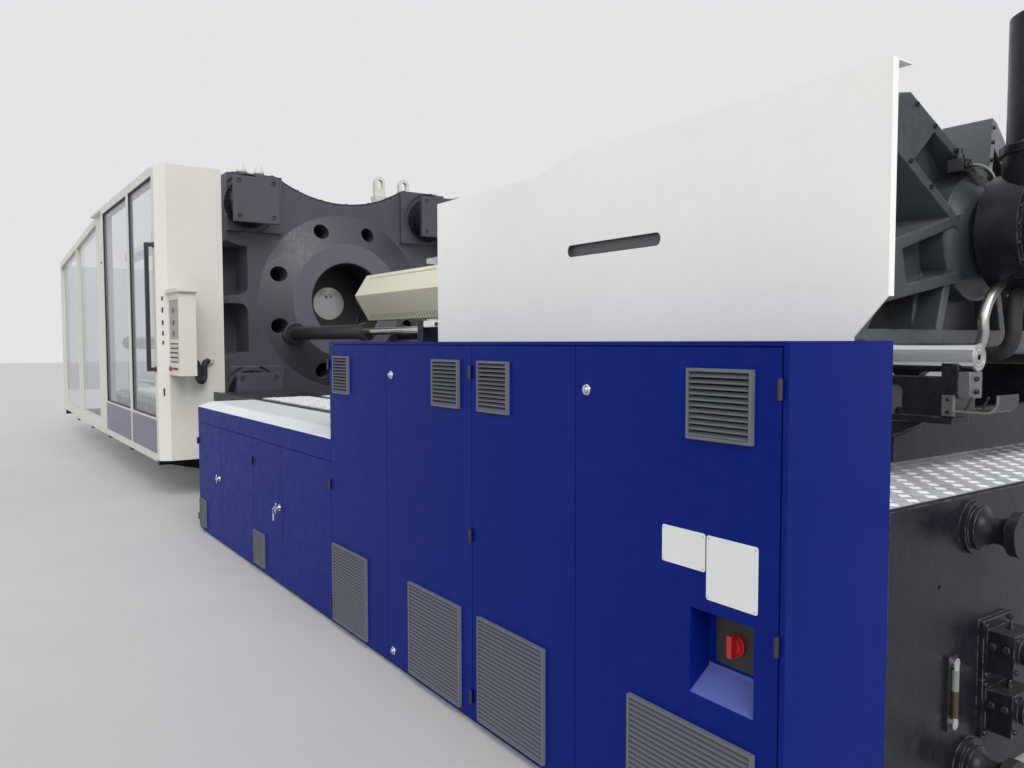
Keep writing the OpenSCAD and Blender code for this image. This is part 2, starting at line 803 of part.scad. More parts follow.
// Long pull handle on two arms
module door_handle() {
    x = door_x1 - stile_w / 2;
    s = handle_side;
    z1 = handle_z + handle_l;
    union() {
        block(x - s / 2, x + s / 2, half_w + handle_off - s, half_w + handle_off, handle_z, z1);
        for (z = [handle_z, z1 - s]) {
            block(x - s / 2, x + s / 2, half_w, half_w + handle_off - 1, z, z + s);
            block(x - s / 2 - 8, x + s / 2 + 8, half_w, half_w + 8, z - 8, z + s + 8);
        }
    }
}

module front_door_frame() color(cream) mirror([0, 1, 0]) door_frame();
module front_door_window() color(clear_green) mirror([0, 1, 0]) door_window();
module front_door_handle() color(cast_black) mirror([0, 1, 0]) door_handle();
module rear_door_frame() color(cream) door_frame();
module rear_door_window() color(clear_green) door_window();
module rear_door_handle() color(cast_black) door_handle();

module operator_panel() color(cream) {
    y0 = -panel_y;
    y1 = y0 + panel_w;
    x1 = post_x + panel_d;
    z1 = panel_z + panel_h;
    difference() {
        union() {
            block(post_x, x1, y0, y1, panel_z, z1);
            block(post_x, x1 + 40, y0 - 30, y1 + 30, z1 - 1, z1 + 36);
            for (row = [0:3], col = [0:5]) {
                block(post_x + 70 + col * 56, post_x + 106 + col * 56, y0 - 4, y0 + 1,
                    panel_z + 150 + row * 48, panel_z + 182 + row * 48);
            }
            on_conduit() translate([-60, 0, 0]) rotate([0, 90, 0]) {
                cylinder(h = conduit_gland + 60, r = conduit_r + 12, $fn = 6);
            }
        }
        block(post_x + 40, x1 - 40, y0 - 1, y0 + 8, panel_z + 380, panel_z + 790);
        translate([post_x + 90, y0 - 1, panel_z + 70]) rotate([-90, 0, 0]) {
            cylinder(h = 41, r = 14 + fit_gap);
        }
        block(post_x + 6, x1 - 6, y0 + 46, y1 - 6, panel_z + 6, z1 - 6);
    }
}

module panel_screen() color(dark_grey) {
    block(post_x + 40 + fit_gap, post_x + panel_d - 40 - fit_gap, -panel_y + 2, -panel_y + 8,
        panel_z + 380 + fit_gap, panel_z + 790 - fit_gap);
}

// Mushroom-headed stop button
module stop_button() color([0.7, 0.05, 0.05]) {
    translate([post_x + 90, -panel_y, panel_z + 70]) rotate([90, 0, 0]) rotate_extrude() {
        translate([0, -30]) square([14, 40]);
        translate([0, button_travel + 2]) square([26, 14]);
    }
}

// Conduit that leaves the panel's side, hangs in a bend and goes into the post's face
module cable_conduit() color(cast_black) {
    bend_r = 62;
    drop = 90;
    x0 = conduit_gland;
    x1 = conduit_run * sqrt(2) - conduit_gland;
    flat = (x1 - x0 - 4 * bend_r) / 2;
    on_conduit() rotate([90, 0, 0]) {
        translate([x0, 0]) rotate([0, 90, 0]) cylinder(h = flat, r = conduit_r);
        translate([x0 + flat, -bend_r]) conduit_bend(bend_r, 0, 90);
        translate([x0 + flat + bend_r, -bend_r - drop]) rotate([-90, 0, 0]) {
            cylinder(h = drop, r = conduit_r);
        }
        translate([x0 + flat + 2 * bend_r, -bend_r - drop]) conduit_bend(bend_r, 180, 360);
        translate([x0 + flat + 3 * bend_r, -bend_r - drop]) rotate([-90, 0, 0]) {
            cylinder(h = drop, r = conduit_r);
        }
        translate([x0 + flat + 4 * bend_r, -bend_r]) conduit_bend(bend_r, 90, 180);
        translate([x0 + flat + 4 * bend_r, 0]) rotate([0, 90, 0]) {
            cylinder(h = flat, r = conduit_r);
        }
    }
}

// Line of the conduit in plan, from the panel's side to the post's face
module on_conduit() {
    translate([conduit_x, conduit_y, conduit_z]) rotate([0, 0, 135]) children();
}

// Bend of the conduit, turned about its centre from one angle to another
module conduit_bend(r, a0, a1) {
    rotate([0, 0, a0]) rotate_extrude(angle = a1 - a0) translate([r, 0]) {
        circle(r = conduit_r, $fn = 24);
    }
}

module stroke_rods() color(bright_steel) {
    piston_r = stroke_tube_r - 22 - slide_gap;
    for (s = [-1, 1]) translate([0, s * stroke_y, axis_z + s * stroke_dz]) {
        bar(stroke_tube_x1 + 60, platen_x1 + 150, 0, 0, stroke_rod_r);
        bar(stroke_tube_x1 + 50, stroke_tube_x1 + 150, 0, 0, piston_r);
        block(platen_x1 + 60, platen_x1 + 220, s > 0 ? platen_w / 2 - stroke_y : -90,
            s > 0 ? 90 : stroke_y - platen_w / 2, -90, 90);
    }
}

module carriage_cylinders() color(cast_black) {
    r = 75;
    x0 = boss_h + 10;
    both_sides() translate([0, -carriage_cyl_y, carriage_cyl_z]) difference() {
        union() {
            bar(x0, x0 + 40, 0, 0, r + 45);
            bar(x0, 2090, 0, 0, r);
            bar(2042, 2155, 0, 0, r + 15);
        }
        bar(x0 + 80, 2100, 0, 0, 55);
        bar(2099, 2156, 0, 0, 35 + slide_gap);
    }
}

// Side guard over the injection unit: a sheet with a top flange, an end flange and feet
module side_guard() {
    t = sheet_t;
    y = side_guard_y;
    low = low_h + 60;
    flange = 110;
    step_x = side_guard_x0 + 989;
    difference() {
        union() {
            along_y(y - t, y) polygon([[side_guard_x0, low], [side_guard_x1 - 119, low],
                [side_guard_x1 - 119, tall_h + 10], [side_guard_x1, tall_h + 141],
                [side_guard_x1, side_guard_top], [step_x + 322, side_guard_top],
                [step_x, side_guard_top - 66], [side_guard_x0, side_guard_top - 66]]);
            block(step_x + 322, side_guard_x1, y - flange, y - 1, side_guard_top - t, side_guard_top);
            block(side_guard_x0, step_x, y - flange, y - 1, side_guard_top - 66 - t,
                side_guard_top - 66);
            along_y(y - flange, y - 1) polygon([[step_x - 1, side_guard_top - 66],
                [step_x - 1, side_guard_top - 66 - t], [step_x + 323, side_guard_top - t],
                [step_x + 323, side_guard_top]]);
            block(side_guard_x1 - t, side_guard_x1, y - 32, y - 1, tall_h + 141, side_guard_top);
            block(6440, 7072, y - 32, y - t + 1, axis_z - 110, axis_z - 22);
            for (x = [side_guard_x0 + 40, side_guard_x0 + 1400, side_guard_x1 - 240]) {
                foot_z = x > bed_mid_x1 ? bed_top : deck_z;
                block(x, x + 80, y - 70, y - 1, foot_z, low + 300);
            }
        }
        along_y(y - 26, y + 1) round_rect(6450, 7062, axis_z - 94, axis_z - 39, 27);
    }
}

module side_guards() color(cream) {
    both_sides() side_guard();
}

// Cabinet carcass with a plinth, a back, uprights between its bays and an open front
module carcass(x0, l, h, top_l, splits) {
    t = 20;
    front = -cab_front;
    back = -cab_back;
    difference() {
        block(x0, x0 + l, front, back, 0, h);
        for (i = [0, 2]) block(x0 + splits[i] + t, x0 + splits[i + 2] - t, front - 1, back - t,
            plinth + 40, h - top_l);
    }
}

module tall_cabinet() color(deep_blue) {
    carcass(tall_x0, tall_l, tall_h, 30, tall_splits);
    block(tall_x0, tall_x0 + tall_l, -half_w, -cab_front + 1, tall_h - 14, tall_h);
    block(tall_x0 + tall_splits[4] + leaf_gap, tall_x0 + tall_l, -half_w, -cab_front + 1, 0, tall_h);
}

module low_cabinet() color(deep_blue) {
    carcass(low_x0, low_l - slide_gap, low_h, fascia_h, low_splits);
    block(low_x0, low_x0 + low_l - slide_gap, -half_w, -cab_front + 1, low_h - fascia_h + leaf_gap,
        low_h);
}

// Sloped white strip and the flat deck that joins the low cabinet to the bed
module cabinet_cover() color(cream) {
    rotate([90, 0, 90]) translate([0, 0, low_x0]) linear_extrude(height = low_l - 2 * slide_gap) {
        polygon([[-half_w, low_h], [-half_w, low_h + 6], [-half_w + strip_w, low_h + strip_rise],
            [-cab_back, low_h + strip_rise], [-cab_back, low_h]]);
    }
}

// Louvre grille: a box frame round slats that slope down and out
module grille(x0, x1, z0, z1) {
    rim = 10;
    proud = 15;
    slat_t = 2.5;
    rise = slat_p * 0.62;
    n = floor((z1 - z0 - 2 * rim) / slat_p);
    along_y(-half_w - proud, -half_w + 4) difference() {
        translate([x0, z0]) square([x1 - x0, z1 - z0]);
        translate([x0 + rim, z0 + rim]) square([x1 - x0 - 2 * rim, z1 - z0 - 2 * rim]);
    }
    for (i = [0:n - 1]) {
        z = z0 + rim + 1 + (z1 - z0 - 2 * rim) * i / n;
        translate([x0 + rim - 1, -half_w, z]) rotate([90, 0, 90]) {
            linear_extrude(height = x1 - x0 - 2 * rim + 2) {
                polygon([[3, rise], [1 - proud, 0], [1 - proud, slat_t], [3, rise + slat_t]]);
            }
        }
    }
}

// Cabinet door: folded sheet with its louvre grilles and its quarter-turn locks
module cabinet_door(x0, x1, z0, z1, grilles, locks) {
    xa = x0 + leaf_gap / 2;
    xb = x1 - leaf_gap / 2;
    y1 = -cab_front - slide_gap;
    t = 3;
    difference() {
        block(xa, xb, -half_w, y1, z0, z1);
        block(xa + 26, xb - 26, -half_w + t, y1 + 1, z0 + 26, z1 - 26);
        for (g = grilles) block(g[0] + 12, g[1] - 12, -half_w - 1, -half_w + t + 1, g[2] + 12,
            g[3] - 12);
    }
    for (g = grilles) grille(g[0], g[1], g[2], g[3]);
    for (k = locks) translate([k[0], -half_w + t + 1, k[1]]) rotate([90, 0, 0]) {
        cylinder(h = 14, r = 15);
        translate([0, 0, 13]) cylinder(h = 5, r = 11);
    }
}

tall_z0 = plinth;
tall_z1 = tall_h - 14 - leaf_gap;
low_z1 = low_h - fascia_h;

module tall_door(i, grilles, locks) color(deep_blue) {
    cabinet_door(tall_x0 + tall_splits[i], tall_x0 + tall_splits[i + 1], tall_z0, tall_z1,
        grilles, locks);
}

module low_door(i, grilles, locks) color(deep_blue) {
    cabinet_door(low_x0 + low_splits[i], low_x0 + low_splits[i + 1], tall_z0, low_z1,
        grilles, locks);
}

// Main switch pocket in the end door, with its sloped ledge
switch_x = [inject_l - 351, inject_l - 106];
switch_z = [609, 881];
switch_deep = 90;

module tall_door_1() color(deep_blue) {
    w = 4;
    difference() {
        union() {
            tall_door(3, [[tall_x0 + 2860, tall_x0 + 3110, 1410, 1628],
                [tall_x0 + 2601, tall_x0 + 3127, 45, 510]], [[tall_x0 + 2375, 1537]]);
            block(switch_x[0] - w, switch_x[1] + w, -half_w + 1, -half_w + switch_deep + w,
                switch_z[0] - w, switch_z[1] + w);
        }
        translate([switch_x[0], -half_w, 0]) rotate([90, 0, 90]) {
            linear_extrude(height = switch_x[1] - switch_x[0]) {
                polygon([[-2, switch_z[0]], [switch_deep, switch_z[0] + 67],
                    [switch_deep, switch_z[1]], [-2, switch_z[1]]]);
            }
        }
    }
}

module tall_door_2() {
    tall_door(2, [[tall_x0 + 1653, tall_x0 + 1883, 1410, 1628],
        [tall_x0 + 1647, tall_x0 + 2124, 45, 510]], []);
}

module tall_door_3() {
    tall_door(1, [[tall_x0 + 1256, tall_x0 + 1494, 1410, 1628],
        [tall_x0 + 1003, tall_x0 + 1495, 45, 510]],
        [[tall_x0 + 821, 1540], [tall_x0 + 821, 97]]);
}

module tall_door_4() {
    tall_door(0, [[tall_x0 + 74, tall_x0 + 289, 1410, 1628], [tall_x0 + 35, tall_x0 + 500, 45, 510]],
        []);
}

module low_door_1() low_door(3, [], []);
module low_door_2() low_door(2, [[low_x0 + 1590, low_x0 + 1823, 57, 304]], [[low_x0 + 2150, 560]]);
module low_door_3() low_door(1, [], []);
module low_door_4() low_door(0, [[low_x0 + 35, low_x0 + 225, 57, 304]], [[low_x0 + 665, 560]]);

// Fixed halves of the cabinet hinges: pins on plates at the outer edges of each pair of doors
module cabinet_hinges() color(dark_grey) {
    for (s = [[tall_x0 + 0, 1], [tall_x0 + tall_splits[2], 0], [tall_x0 + tall_splits[4], -1]]) {
        for (z = [131, 856, 1577]) hinge_knuckle(s[0], z);
    }
    for (s = [low_x0 + 0, low_x0 + low_splits[2]]) for (z = [131, 820]) hinge_knuckle(s, z);
}

module hinge_knuckle(x, z) {
    translate([x, -half_w - 9, z - 30]) cylinder(h = 60, r = 8);
    block(x - 1.5, x + 1.5, -half_w - 9, -cab_front, z - 25, z + 25);
}

module oil_gauge() color(bright_steel) {
    x = inject_l;
    difference() {
        union() {
            block(x, x + 12, -gauge_y - 30, -gauge_y + 30, 377, 636);
            for (z = [402, 611]) translate([x + 11, -gauge_y, z]) rotate([0, 90, 0]) {
                cylinder(h = 14, r = 20);
            }
            translate([x + 20, -gauge_y, 402]) cylinder(h = 209, r = 12);
        }
        translate([x + 11, 12 - gauge_y, 440]) cube([3, 5, 130]);
    }
}

// Moving platen: mould plate, four tie bar tubes, a hub ring and the ribs between them
module moving_platen() color(cast_grey) {
    tube_r = tie_r + 130;
    hub_r = 560;
    back = moving_x0 - mould_plate - 40;
    way = clamp_way_z + slide_gap;
    tie_far = sqrt(tie_y * tie_y + tie_z * tie_z);
    difference() {
        union() {
            along_x(back, moving_x0) intersection() {
                platen_outline();
                translate([0, slide_gap]) square([platen_w, platen_h], center = true);
            }
            at_tie_bars() bar(moving_x1, back + 1, 0, 0, tube_r);
            bar(moving_x1, back + 1, 0, axis_z, hub_r, $fn = 96);
            for (s = [-1, 1]) translate([0, 0, axis_z]) rotate([s * atan2(tie_z, tie_y), 0, 0]) {
                block(moving_x1 + 60, back + 1, -tie_far, tie_far, -80, 80);
            }
            for (s = [-1, 1]) {
                block(moving_x1 + 200, back + 1, s * tie_y - 60, s * tie_y + 60, axis_z - tie_z,
                    axis_z + tie_z);
                block(moving_x1 + 200, back + 1, -tie_y, tie_y, axis_z + s * tie_z - 60,
                    axis_z + s * tie_z + 60);
                block(moving_x1, moving_x0 - 60, s * clamp_beam_y - way_w / 2 - 30,
                    s * clamp_beam_y + way_w / 2 + 30, way, axis_z - tie_z - 120);
            }
        }
        at_tie_bars() bar(moving_x1 - 1, moving_x0 + 1, 0, 0, tie_r + tie_gap);
        bar(moving_x1 + 120, back, 0, axis_z, hub_r - 90, $fn = 96);
        for (y = [-210, 210], z = [-210, 210]) bar(back - 1, moving_x0 + 1, y, axis_z + z, 26);
        at_mould_bolts() bar(moving_x0 - 70, moving_x0 + 1, 0, 0, mould_bolt_r, $fn = 24);
        bar(moving_x1 - 1, moving_x1 + 130, 0, axis_z, 60 + slide_gap);
    }
}

module ejector() color(bright_steel) {
    back = moving_x0 - mould_plate - 40;
    plate_x = back - eject_stroke - 80;
    union() {
        difference() {
            bar(plate_x, plate_x + 70, 0, axis_z, 420, $fn = 72);
            for (a = [0:90:270]) bar(plate_x - 1, plate_x + 71, 290 * cos(a),
                axis_z + 290 * sin(a), 60);
        }
        for (y = [-210, 210], z = [-210, 210]) {
            bar(plate_x + 1, moving_x0 - 10, y, axis_z + z, 25);
        }
        bar(moving_x1 - 80, plate_x + 1, 0, axis_z, 60);
    }
}

module stroke_cylinders() color(cast_black) {
    bore = stroke_tube_r - 22;
    for (s = [-1, 1]) difference() {
        union() {
            bar(stroke_tube_x1, moving_x0, s * stroke_y, axis_z + s * stroke_dz, stroke_tube_r);
            for (x = [stroke_tube_x1, moving_x0 - 120]) {
                bar(x, x + 120, s * stroke_y, axis_z + s * stroke_dz, stroke_tube_r + 11);
            }
            block(moving_x0 - mould_plate, moving_x0 - 20, s > 0 ? platen_w / 2 : -stroke_y,
                s > 0 ? stroke_y : -platen_w / 2, axis_z + s * stroke_dz - 80,
                axis_z + s * stroke_dz + 80);
        }
        bar(stroke_tube_x1 + 40, moving_x0 - 80, s * stroke_y, axis_z + s * stroke_dz, bore);
        bar(moving_x0 - 81, moving_x0 + 1, s * stroke_y, axis_z + s * stroke_dz,
            stroke_rod_r + slide_gap);
    }
}

// One half of each split nut, drawn open by its travel, with teeth for the lock grooves
module nut_halves(side) {
    x1 = moving_x1 - fit_gap;
    x0 = x1 - nut_t;
    at_tie_bars() translate([0, side * nut_travel, 0]) difference() {
        union() {
            bar(x0, x1, 0, 0, nut_r);
            block(x0 + 60, x1 - 60, side * 180 - 60, side * 180 + 60, -nut_r - 20, nut_r + 20);
        }
        bar(x0 - 1, x1 + 1, 0, 0, nut_hole_r);
        block(x0 - 1, x1 + 1, side > 0 ? -nut_r - 60 : -0.5, side > 0 ? 0.5 : nut_r + 60,
            -nut_r - 60, nut_r + 60);
    }
    at_tie_bars() translate([0, side * nut_travel, 0]) intersection() {
        for (i = [0:floor(nut_t / groove_p) - 1]) difference() {
            x = groove_x0 + floor(nut_t / groove_p) * groove_p - i * groove_p - groove_p / 4;
            bar(x - nut_tooth_w / 2, x + nut_tooth_w / 2, 0, 0, nut_hole_r + 5);
            bar(x - nut_tooth_w, x + nut_tooth_w, 0, 0, tie_r - groove_d + 1);
        }
        block(x0 + 2, x1 - 2, side > 0 ? 0.5 : -nut_r, side > 0 ? nut_r : -0.5, -nut_r, nut_r);
    }
}

module nut_halves_front() color(dark_grey) nut_halves(-1);
module nut_halves_rear() color(dark_grey) nut_halves(1);

module switch_plate() color(cast_black) {
    y = -half_w + switch_deep;
    block(switch_x[0] + 40, switch_x[1] - 40, y - 14, y, switch_z[0] + 95, switch_z[1] - 25);
}

module switch_handle() color([0.65, 0.05, 0.04]) {
    y = -half_w + switch_deep - 14 - slide_gap;
    translate([(switch_x[0] + switch_x[1]) / 2, y, (switch_z[0] + 95 + switch_z[1] - 25) / 2]) {
        rotate([90, 0, 0]) {
            cylinder(h = 10, r = 34);
            translate([0, 0, 9]) cylinder(h = 8, r = 26);
            translate([-9, -34, 16]) cube([18, 68, 22]);
        }
    }
}

// Base of the injection carriage: two side beams with windows, cross plates and slide shoes
module carriage_frame() color(cast_black) {
    z0 = carriage_z0;
    x1 = inject_l - 130;
    union() {
        both_sides() {
            difference() {
                along_y(beam_y - beam_t / 2, beam_y + beam_t / 2) polygon([[carriage_x0, z0],
                    [inject_l - 600, z0], [inject_l - 180, beam_top - 150], [x1, beam_top - 150],
                    [x1, beam_top], [block_x0 - 200, beam_top], [block_x0 - 500, beam_top - 120],
                    [carriage_x0, beam_top - 120]]);
                along_y(beam_y - beam_t, beam_y + beam_t) {
                    round_rect(inject_l - 540, inject_l - 306, beam_top - 183, beam_top - 35, 25);
                    for (i = [0:2]) round_rect(carriage_x0 + 300 + i * 420,
                        carriage_x0 + 600 + i * 420, z0 + 70, beam_top - 180, 50);
                    for (i = [0:3]) round_rect(block_x0 + 400 + i * 480,
                        block_x0 + 740 + i * 480, z0 + 90, beam_top - 60, 60);
                }
            }
            for (x = [carriage_x0 + 40, block_x0 + 100, yoke_x - 300]) {
                block(x, x + 500, girder_y - 110, girder_y + 110, z0, z0 + 40);
            }
            for (x = [guide_x1 - 110, block_x0 + 1280]) guide_bracket(x);
            difference() {
                block(carriage_x0, carriage_x0 + 90, carriage_cyl_y - 75, carriage_cyl_y + 75, z0 + 60,
                    carriage_cyl_z + 80);
                bar(carriage_x0 - 1, carriage_x0 + 80.5, carriage_cyl_y, carriage_cyl_z,
                    35 + fit_gap);
            }
        }
        for (x = [carriage_x0 + 20, block_x0 - 700, block_x0 + 900, block_x0 + 1700, inject_l - 420]) {
            block(x, x + 60, -beam_y, beam_y, z0 + 20, beam_top - 160);
        }
    }
}

// Upright under a guide bar's end, with its foot ledge
module guide_bracket(x) {
    difference() {
        union() {
            block(x, x + 60, guide_y - 45, guide_y + 45, beam_top - 60, guide_z + guide_r * 0.2);
            block(x - 200, x + 50, guide_y - 60, guide_y + 60, beam_top - 170, beam_top - 145);
            block(x + 20, x + 44, guide_y - 45, guide_y + 45, beam_top - 150, beam_top - 50);
        }
        bar(x - 1, x + 61, guide_y, guide_z, guide_r + fit_gap);
    }
}

// Cast block that holds the barrel's rear end and the front ends of the guide bars
module barrel_block() color(cast_grey) {
    x0 = block_x0;
    x1 = block_x0 + block_l;
    up = atan2(arm_up_y, arm_up_z);
    difference() {
        union() {
            bar(x0, x1, 0, axis_z, 420, $fn = 72);
            for (s = [-1, 1]) {
                bar(x0 + 250, x1, s * arm_up_y, axis_z + arm_up_z, inject_tube_r + 60);
                bar(x0 + 250, x1, s * arm_low_y, axis_z + arm_low_z, inject_tube_r + 60);
                translate([x0 + 300, 0, axis_z]) rotate([-s * up, 0, 0]) {
                    block(0, block_l - 300, -90, 90, 0, arm_up_z + 120);
                }
                block(x0 + 300, x1, s > 0 ? 0 : -arm_low_y, s > 0 ? arm_low_y : 0,
                    axis_z + arm_low_z - 120, axis_z + arm_low_z + 80);
                block(x0, x1 - 40, s * guide_y - 110, s * guide_y + 110, beam_top, guide_z + 120);
            }
            block(x0, x1 - 40, -guide_y, guide_y, beam_top, guide_z + 60);
            block(x0 + 100, x1 - 140, -320, 320, guide_z, axis_z - 200);
        }
        bar(x0 - 1, x1 + 1, 0, axis_z, barrel_r + fit_gap, $fn = 72);
        for (s = [-1, 1]) {
            bar(x0 + 240, x1 + 1, s * arm_up_y, axis_z + arm_up_z, inject_tube_r + fit_gap);
            bar(x0 + 240, x1 + 1, s * arm_low_y, axis_z + arm_low_z, inject_tube_r + fit_gap);
            bar(x0 + 100, x1 + 1, s * guide_y, guide_z, guide_r + fit_gap);
        }
    }
}

module barrel() color(dark_grey) {
    back = block_x0 + block_l;
    band_x0 = nozzle_x0 + tip_l + 180;
    difference() {
        union() {
            bar(nozzle_x0 + tip_l, back, 0, axis_z, barrel_r, $fn = 64);
            translate([nozzle_x0 + 120, 0, axis_z]) rotate([0, 90, 0]) {
                cylinder(h = tip_l - 119, r1 = 62, r2 = 150);
            }
            bar(nozzle_x0 + 30, nozzle_x0 + 130, 0, axis_z, 58);
            translate([nozzle_x0, 0, axis_z]) rotate([0, 90, 0]) cylinder(h = 31, r1 = 26, r2 = 58);
            for (i = [0:floor((block_x0 - band_x0) / band_pitch) - 1]) {
                x = band_x0 + i * band_pitch;
                bar(x, x + band_l, 0, axis_z, barrel_r + band_t, $fn = 64);
            }
        }
        bar(nozzle_x0 + tip_l + 60, back + 1, 0, axis_z, screw_bore_r, $fn = 64);
        bar(nozzle_x0 - 1, nozzle_x0 + tip_l + 61, 0, axis_z, 12);
    }
}

// Half outline of the hood's six-sided section, drawn larger or smaller by an inset
module hood_outline(inset) {
    w = hood_w - inset * 1.15;
    h = hood_h - inset;
    polygon([[-w, 20], [-0.5 * hood_w, h], [0.5 * hood_w, h], [w, 20], [0.45 * hood_w, -h],
        [-0.45 * hood_w, -h]]);
}

module barrel_cover() color(cream) {
    x1 = block_x0;
    t = sheet_t;
    slots = 60;
    foot_y = 120;
    foot_w = 30;
    difference() {
        along_x(hood_x0, x1) hood_outline(0);
        along_x(hood_x0 - 1, x1 + 1) hood_outline(t);
        for (i = [0:slots - 1]) {
            x = hood_x0 + 120 + i * (x1 - hood_x0 - 240) / slots;
            block(x, x + 16, -hood_w, hood_w, axis_z - hood_h + 14, axis_z - hood_h + 62);
        }
        for (i = [0:slots - 1]) {
            x = hood_x0 + 120 + i * (x1 - hood_x0 - 240) / slots;
            block(x, x + 34, -hood_w, hood_w, axis_z + hood_h - 46, axis_z + hood_h - 36);
        }
    }
    for (foot = [[hood_x0 + 500, barrel_r + band_t], [x1 - 300, barrel_r]], s = [-1, 1]) {
        z = axis_z + sqrt(pow(foot[1], 2) - pow(foot_y - foot_w / 2, 2)) + slide_gap;
        block(foot[0], foot[0] + 40, s * foot_y - foot_w / 2, s * foot_y + foot_w / 2, z,
            axis_z + hood_h - t + 1);
    }
}

module guide_bars() color(bright_steel) {
    both_sides() difference() {
        bar(block_x0 + 100 + fit_gap, guide_x1, guide_y, guide_z, guide_r);
        bar(guide_x1 - 30, guide_x1 + 1, guide_y, guide_z, 11, $fn = 24);
    }
}

module injection_cylinders() color(cast_black) {
    x0 = block_x0 + 240;
    x1 = yoke_x - yoke_t - inject_stroke - 60;
    for (s = [-1, 1], c = [[arm_up_y, arm_up_z], [arm_low_y, arm_low_z]]) {
        translate([0, s * c[0], axis_z + c[1]]) difference() {
            union() {
                bar(x0 + fit_gap, x1, 0, 0, inject_tube_r);
                bar(x1 - 60, x1, 0, 0, inject_tube_r + 30);
            }
            bar(x0 + 60, x1 - 60, 0, 0, inject_tube_r - 25);
            bar(x1 - 61, x1 + 1, 0, 0, inject_rod_r + slide_gap);
        }
    }
}

module carriage_rods() color(bright_steel) {
    both_sides() translate([0, -carriage_cyl_y, carriage_cyl_z]) {
        bar(2060, carriage_x0 + 80, 0, 0, 35);
        bar(1980, 2061, 0, 0, 55 - slide_gap);
    }
}

module spider_yoke() color(cast_black) {
    hub_r = 300;
    difference() {
        union() {
            for (s = [-1, 1]) translate([yoke_x, 0, 0]) scale([1, s, 1]) {
                yoke_arm(arm_up_y, arm_up_z, 340, 310, 150, 0);
                yoke_arm(arm_low_y, arm_low_z, 320, 250, 130, arm_step);
            }
            bar(yoke_x - yoke_t - 60, yoke_x + yoke_t, 0, axis_z, hub_r, $fn = 72);
            translate([yoke_x + yoke_t - 1, 0, axis_z]) rotate([0, 90, 0]) {
                cylinder(h = 60, r1 = hub_r - 10, r2 = 200);
            }
            along_x(yoke_x - 60, yoke_x + 60) polygon([[-260, 0], [260, 0], [330, -guide_drop + 90],
                [-330, -guide_drop + 90]]);
            for (s = [-1, 1]) along_x(yoke_x - yoke_t + 8, yoke_x + yoke_t - 8) scale([s, 1]) {
                polygon([[180, -100], [230, -100], [345, -guide_drop + 60], [295, -guide_drop + 60]]);
                polygon([[700, -200], [780, -200], [1040, -guide_drop + 60],
                    [930, -guide_drop + 60]]);
            }
            block(yoke_x - yoke_t, yoke_x + yoke_t, -guide_y, guide_y, guide_z - 10, guide_z + 110);
            for (s = [-1, 1]) {
                bar(yoke_x - yoke_t - 60, yoke_x + yoke_t + 60, s * guide_y, guide_z,
                    guide_r + bushing_wall);
            }
        }
        bar(yoke_x - yoke_t - 61, yoke_x + yoke_t + 60, 0, axis_z, 90 + fit_gap);
        for (s = [-1, 1]) {
            bar(yoke_x - yoke_t - 61, yoke_x + yoke_t + 61, s * guide_y, guide_z,
                guide_r + slide_gap);
            block(yoke_x - yoke_t + 50, yoke_x + yoke_t - 50, s > 0 ? 380 : -860, s > 0 ? 860 : -380,
                guide_z + 40, guide_z + 111);
            block(yoke_x - yoke_t - 61, yoke_x + yoke_t + 61, s * guide_y - 100, s * guide_y + 100,
                guide_z - guide_r - bushing_wall - 1, beam_top + bushing_gap);
        }
    }
}

// One arm of the yoke: a tapered box that sweeps forward to its end, with a channel between
// two raised ribs on its rear face
module yoke_arm(y, z, root_w, tip_w, sweep, step) {
    a = atan2(y, z);
    l = sqrt(y * y + z * z);
    deep = 2 * yoke_t + 60 - step;
    translate([0, 0, axis_z]) rotate([-a, 0, 0]) difference() {
        rotate([90, 0, 90]) translate([0, 0, step - yoke_t]) linear_extrude(height = deep) {
            polygon([[-root_w / 2, 100], [root_w / 2, 100], [tip_w / 2, l + 110],
                [tip_w / 2 - 60, l + 150], [60 - tip_w / 2, l + 150], [-tip_w / 2, l + 110]]);
        }
        rotate([90, 0, 90]) translate([0, 0, yoke_t - 130]) linear_extrude(height = 300) {
            polygon([[45 - root_w / 2, 150], [root_w / 2 - 45, 150], [tip_w / 2 - 45, l - 90],
                [45 - tip_w / 2, l - 90]]);
        }
        rotate([90, 0, 0]) translate([0, 0, -root_w]) linear_extrude(height = 2 * root_w) {
            polygon([[yoke_t + 20, 260], [yoke_t + 62, 60], [yoke_t + 62, l + 200],
                [yoke_t - sweep, l + 200]]);
        }
    }
}

module injection_rods() color(bright_steel) {
    x0 = yoke_x - yoke_t - inject_stroke - 130;
    for (s = [-1, 1], c = [[arm_up_y, arm_up_z, 0], [arm_low_y, arm_low_z, arm_step]]) {
        x1 = yoke_x - yoke_t + c[2];
        translate([0, s * c[0], axis_z + c[1]]) {
            bar(x0, x1, 0, 0, inject_rod_r);
            bar(x0 - 90, x0 + 1, 0, 0, inject_tube_r - 25 - slide_gap);
            bar(x1 - 40, x1, 0, 0, inject_rod_r + 22, $fn = 6);
        }
    }
}

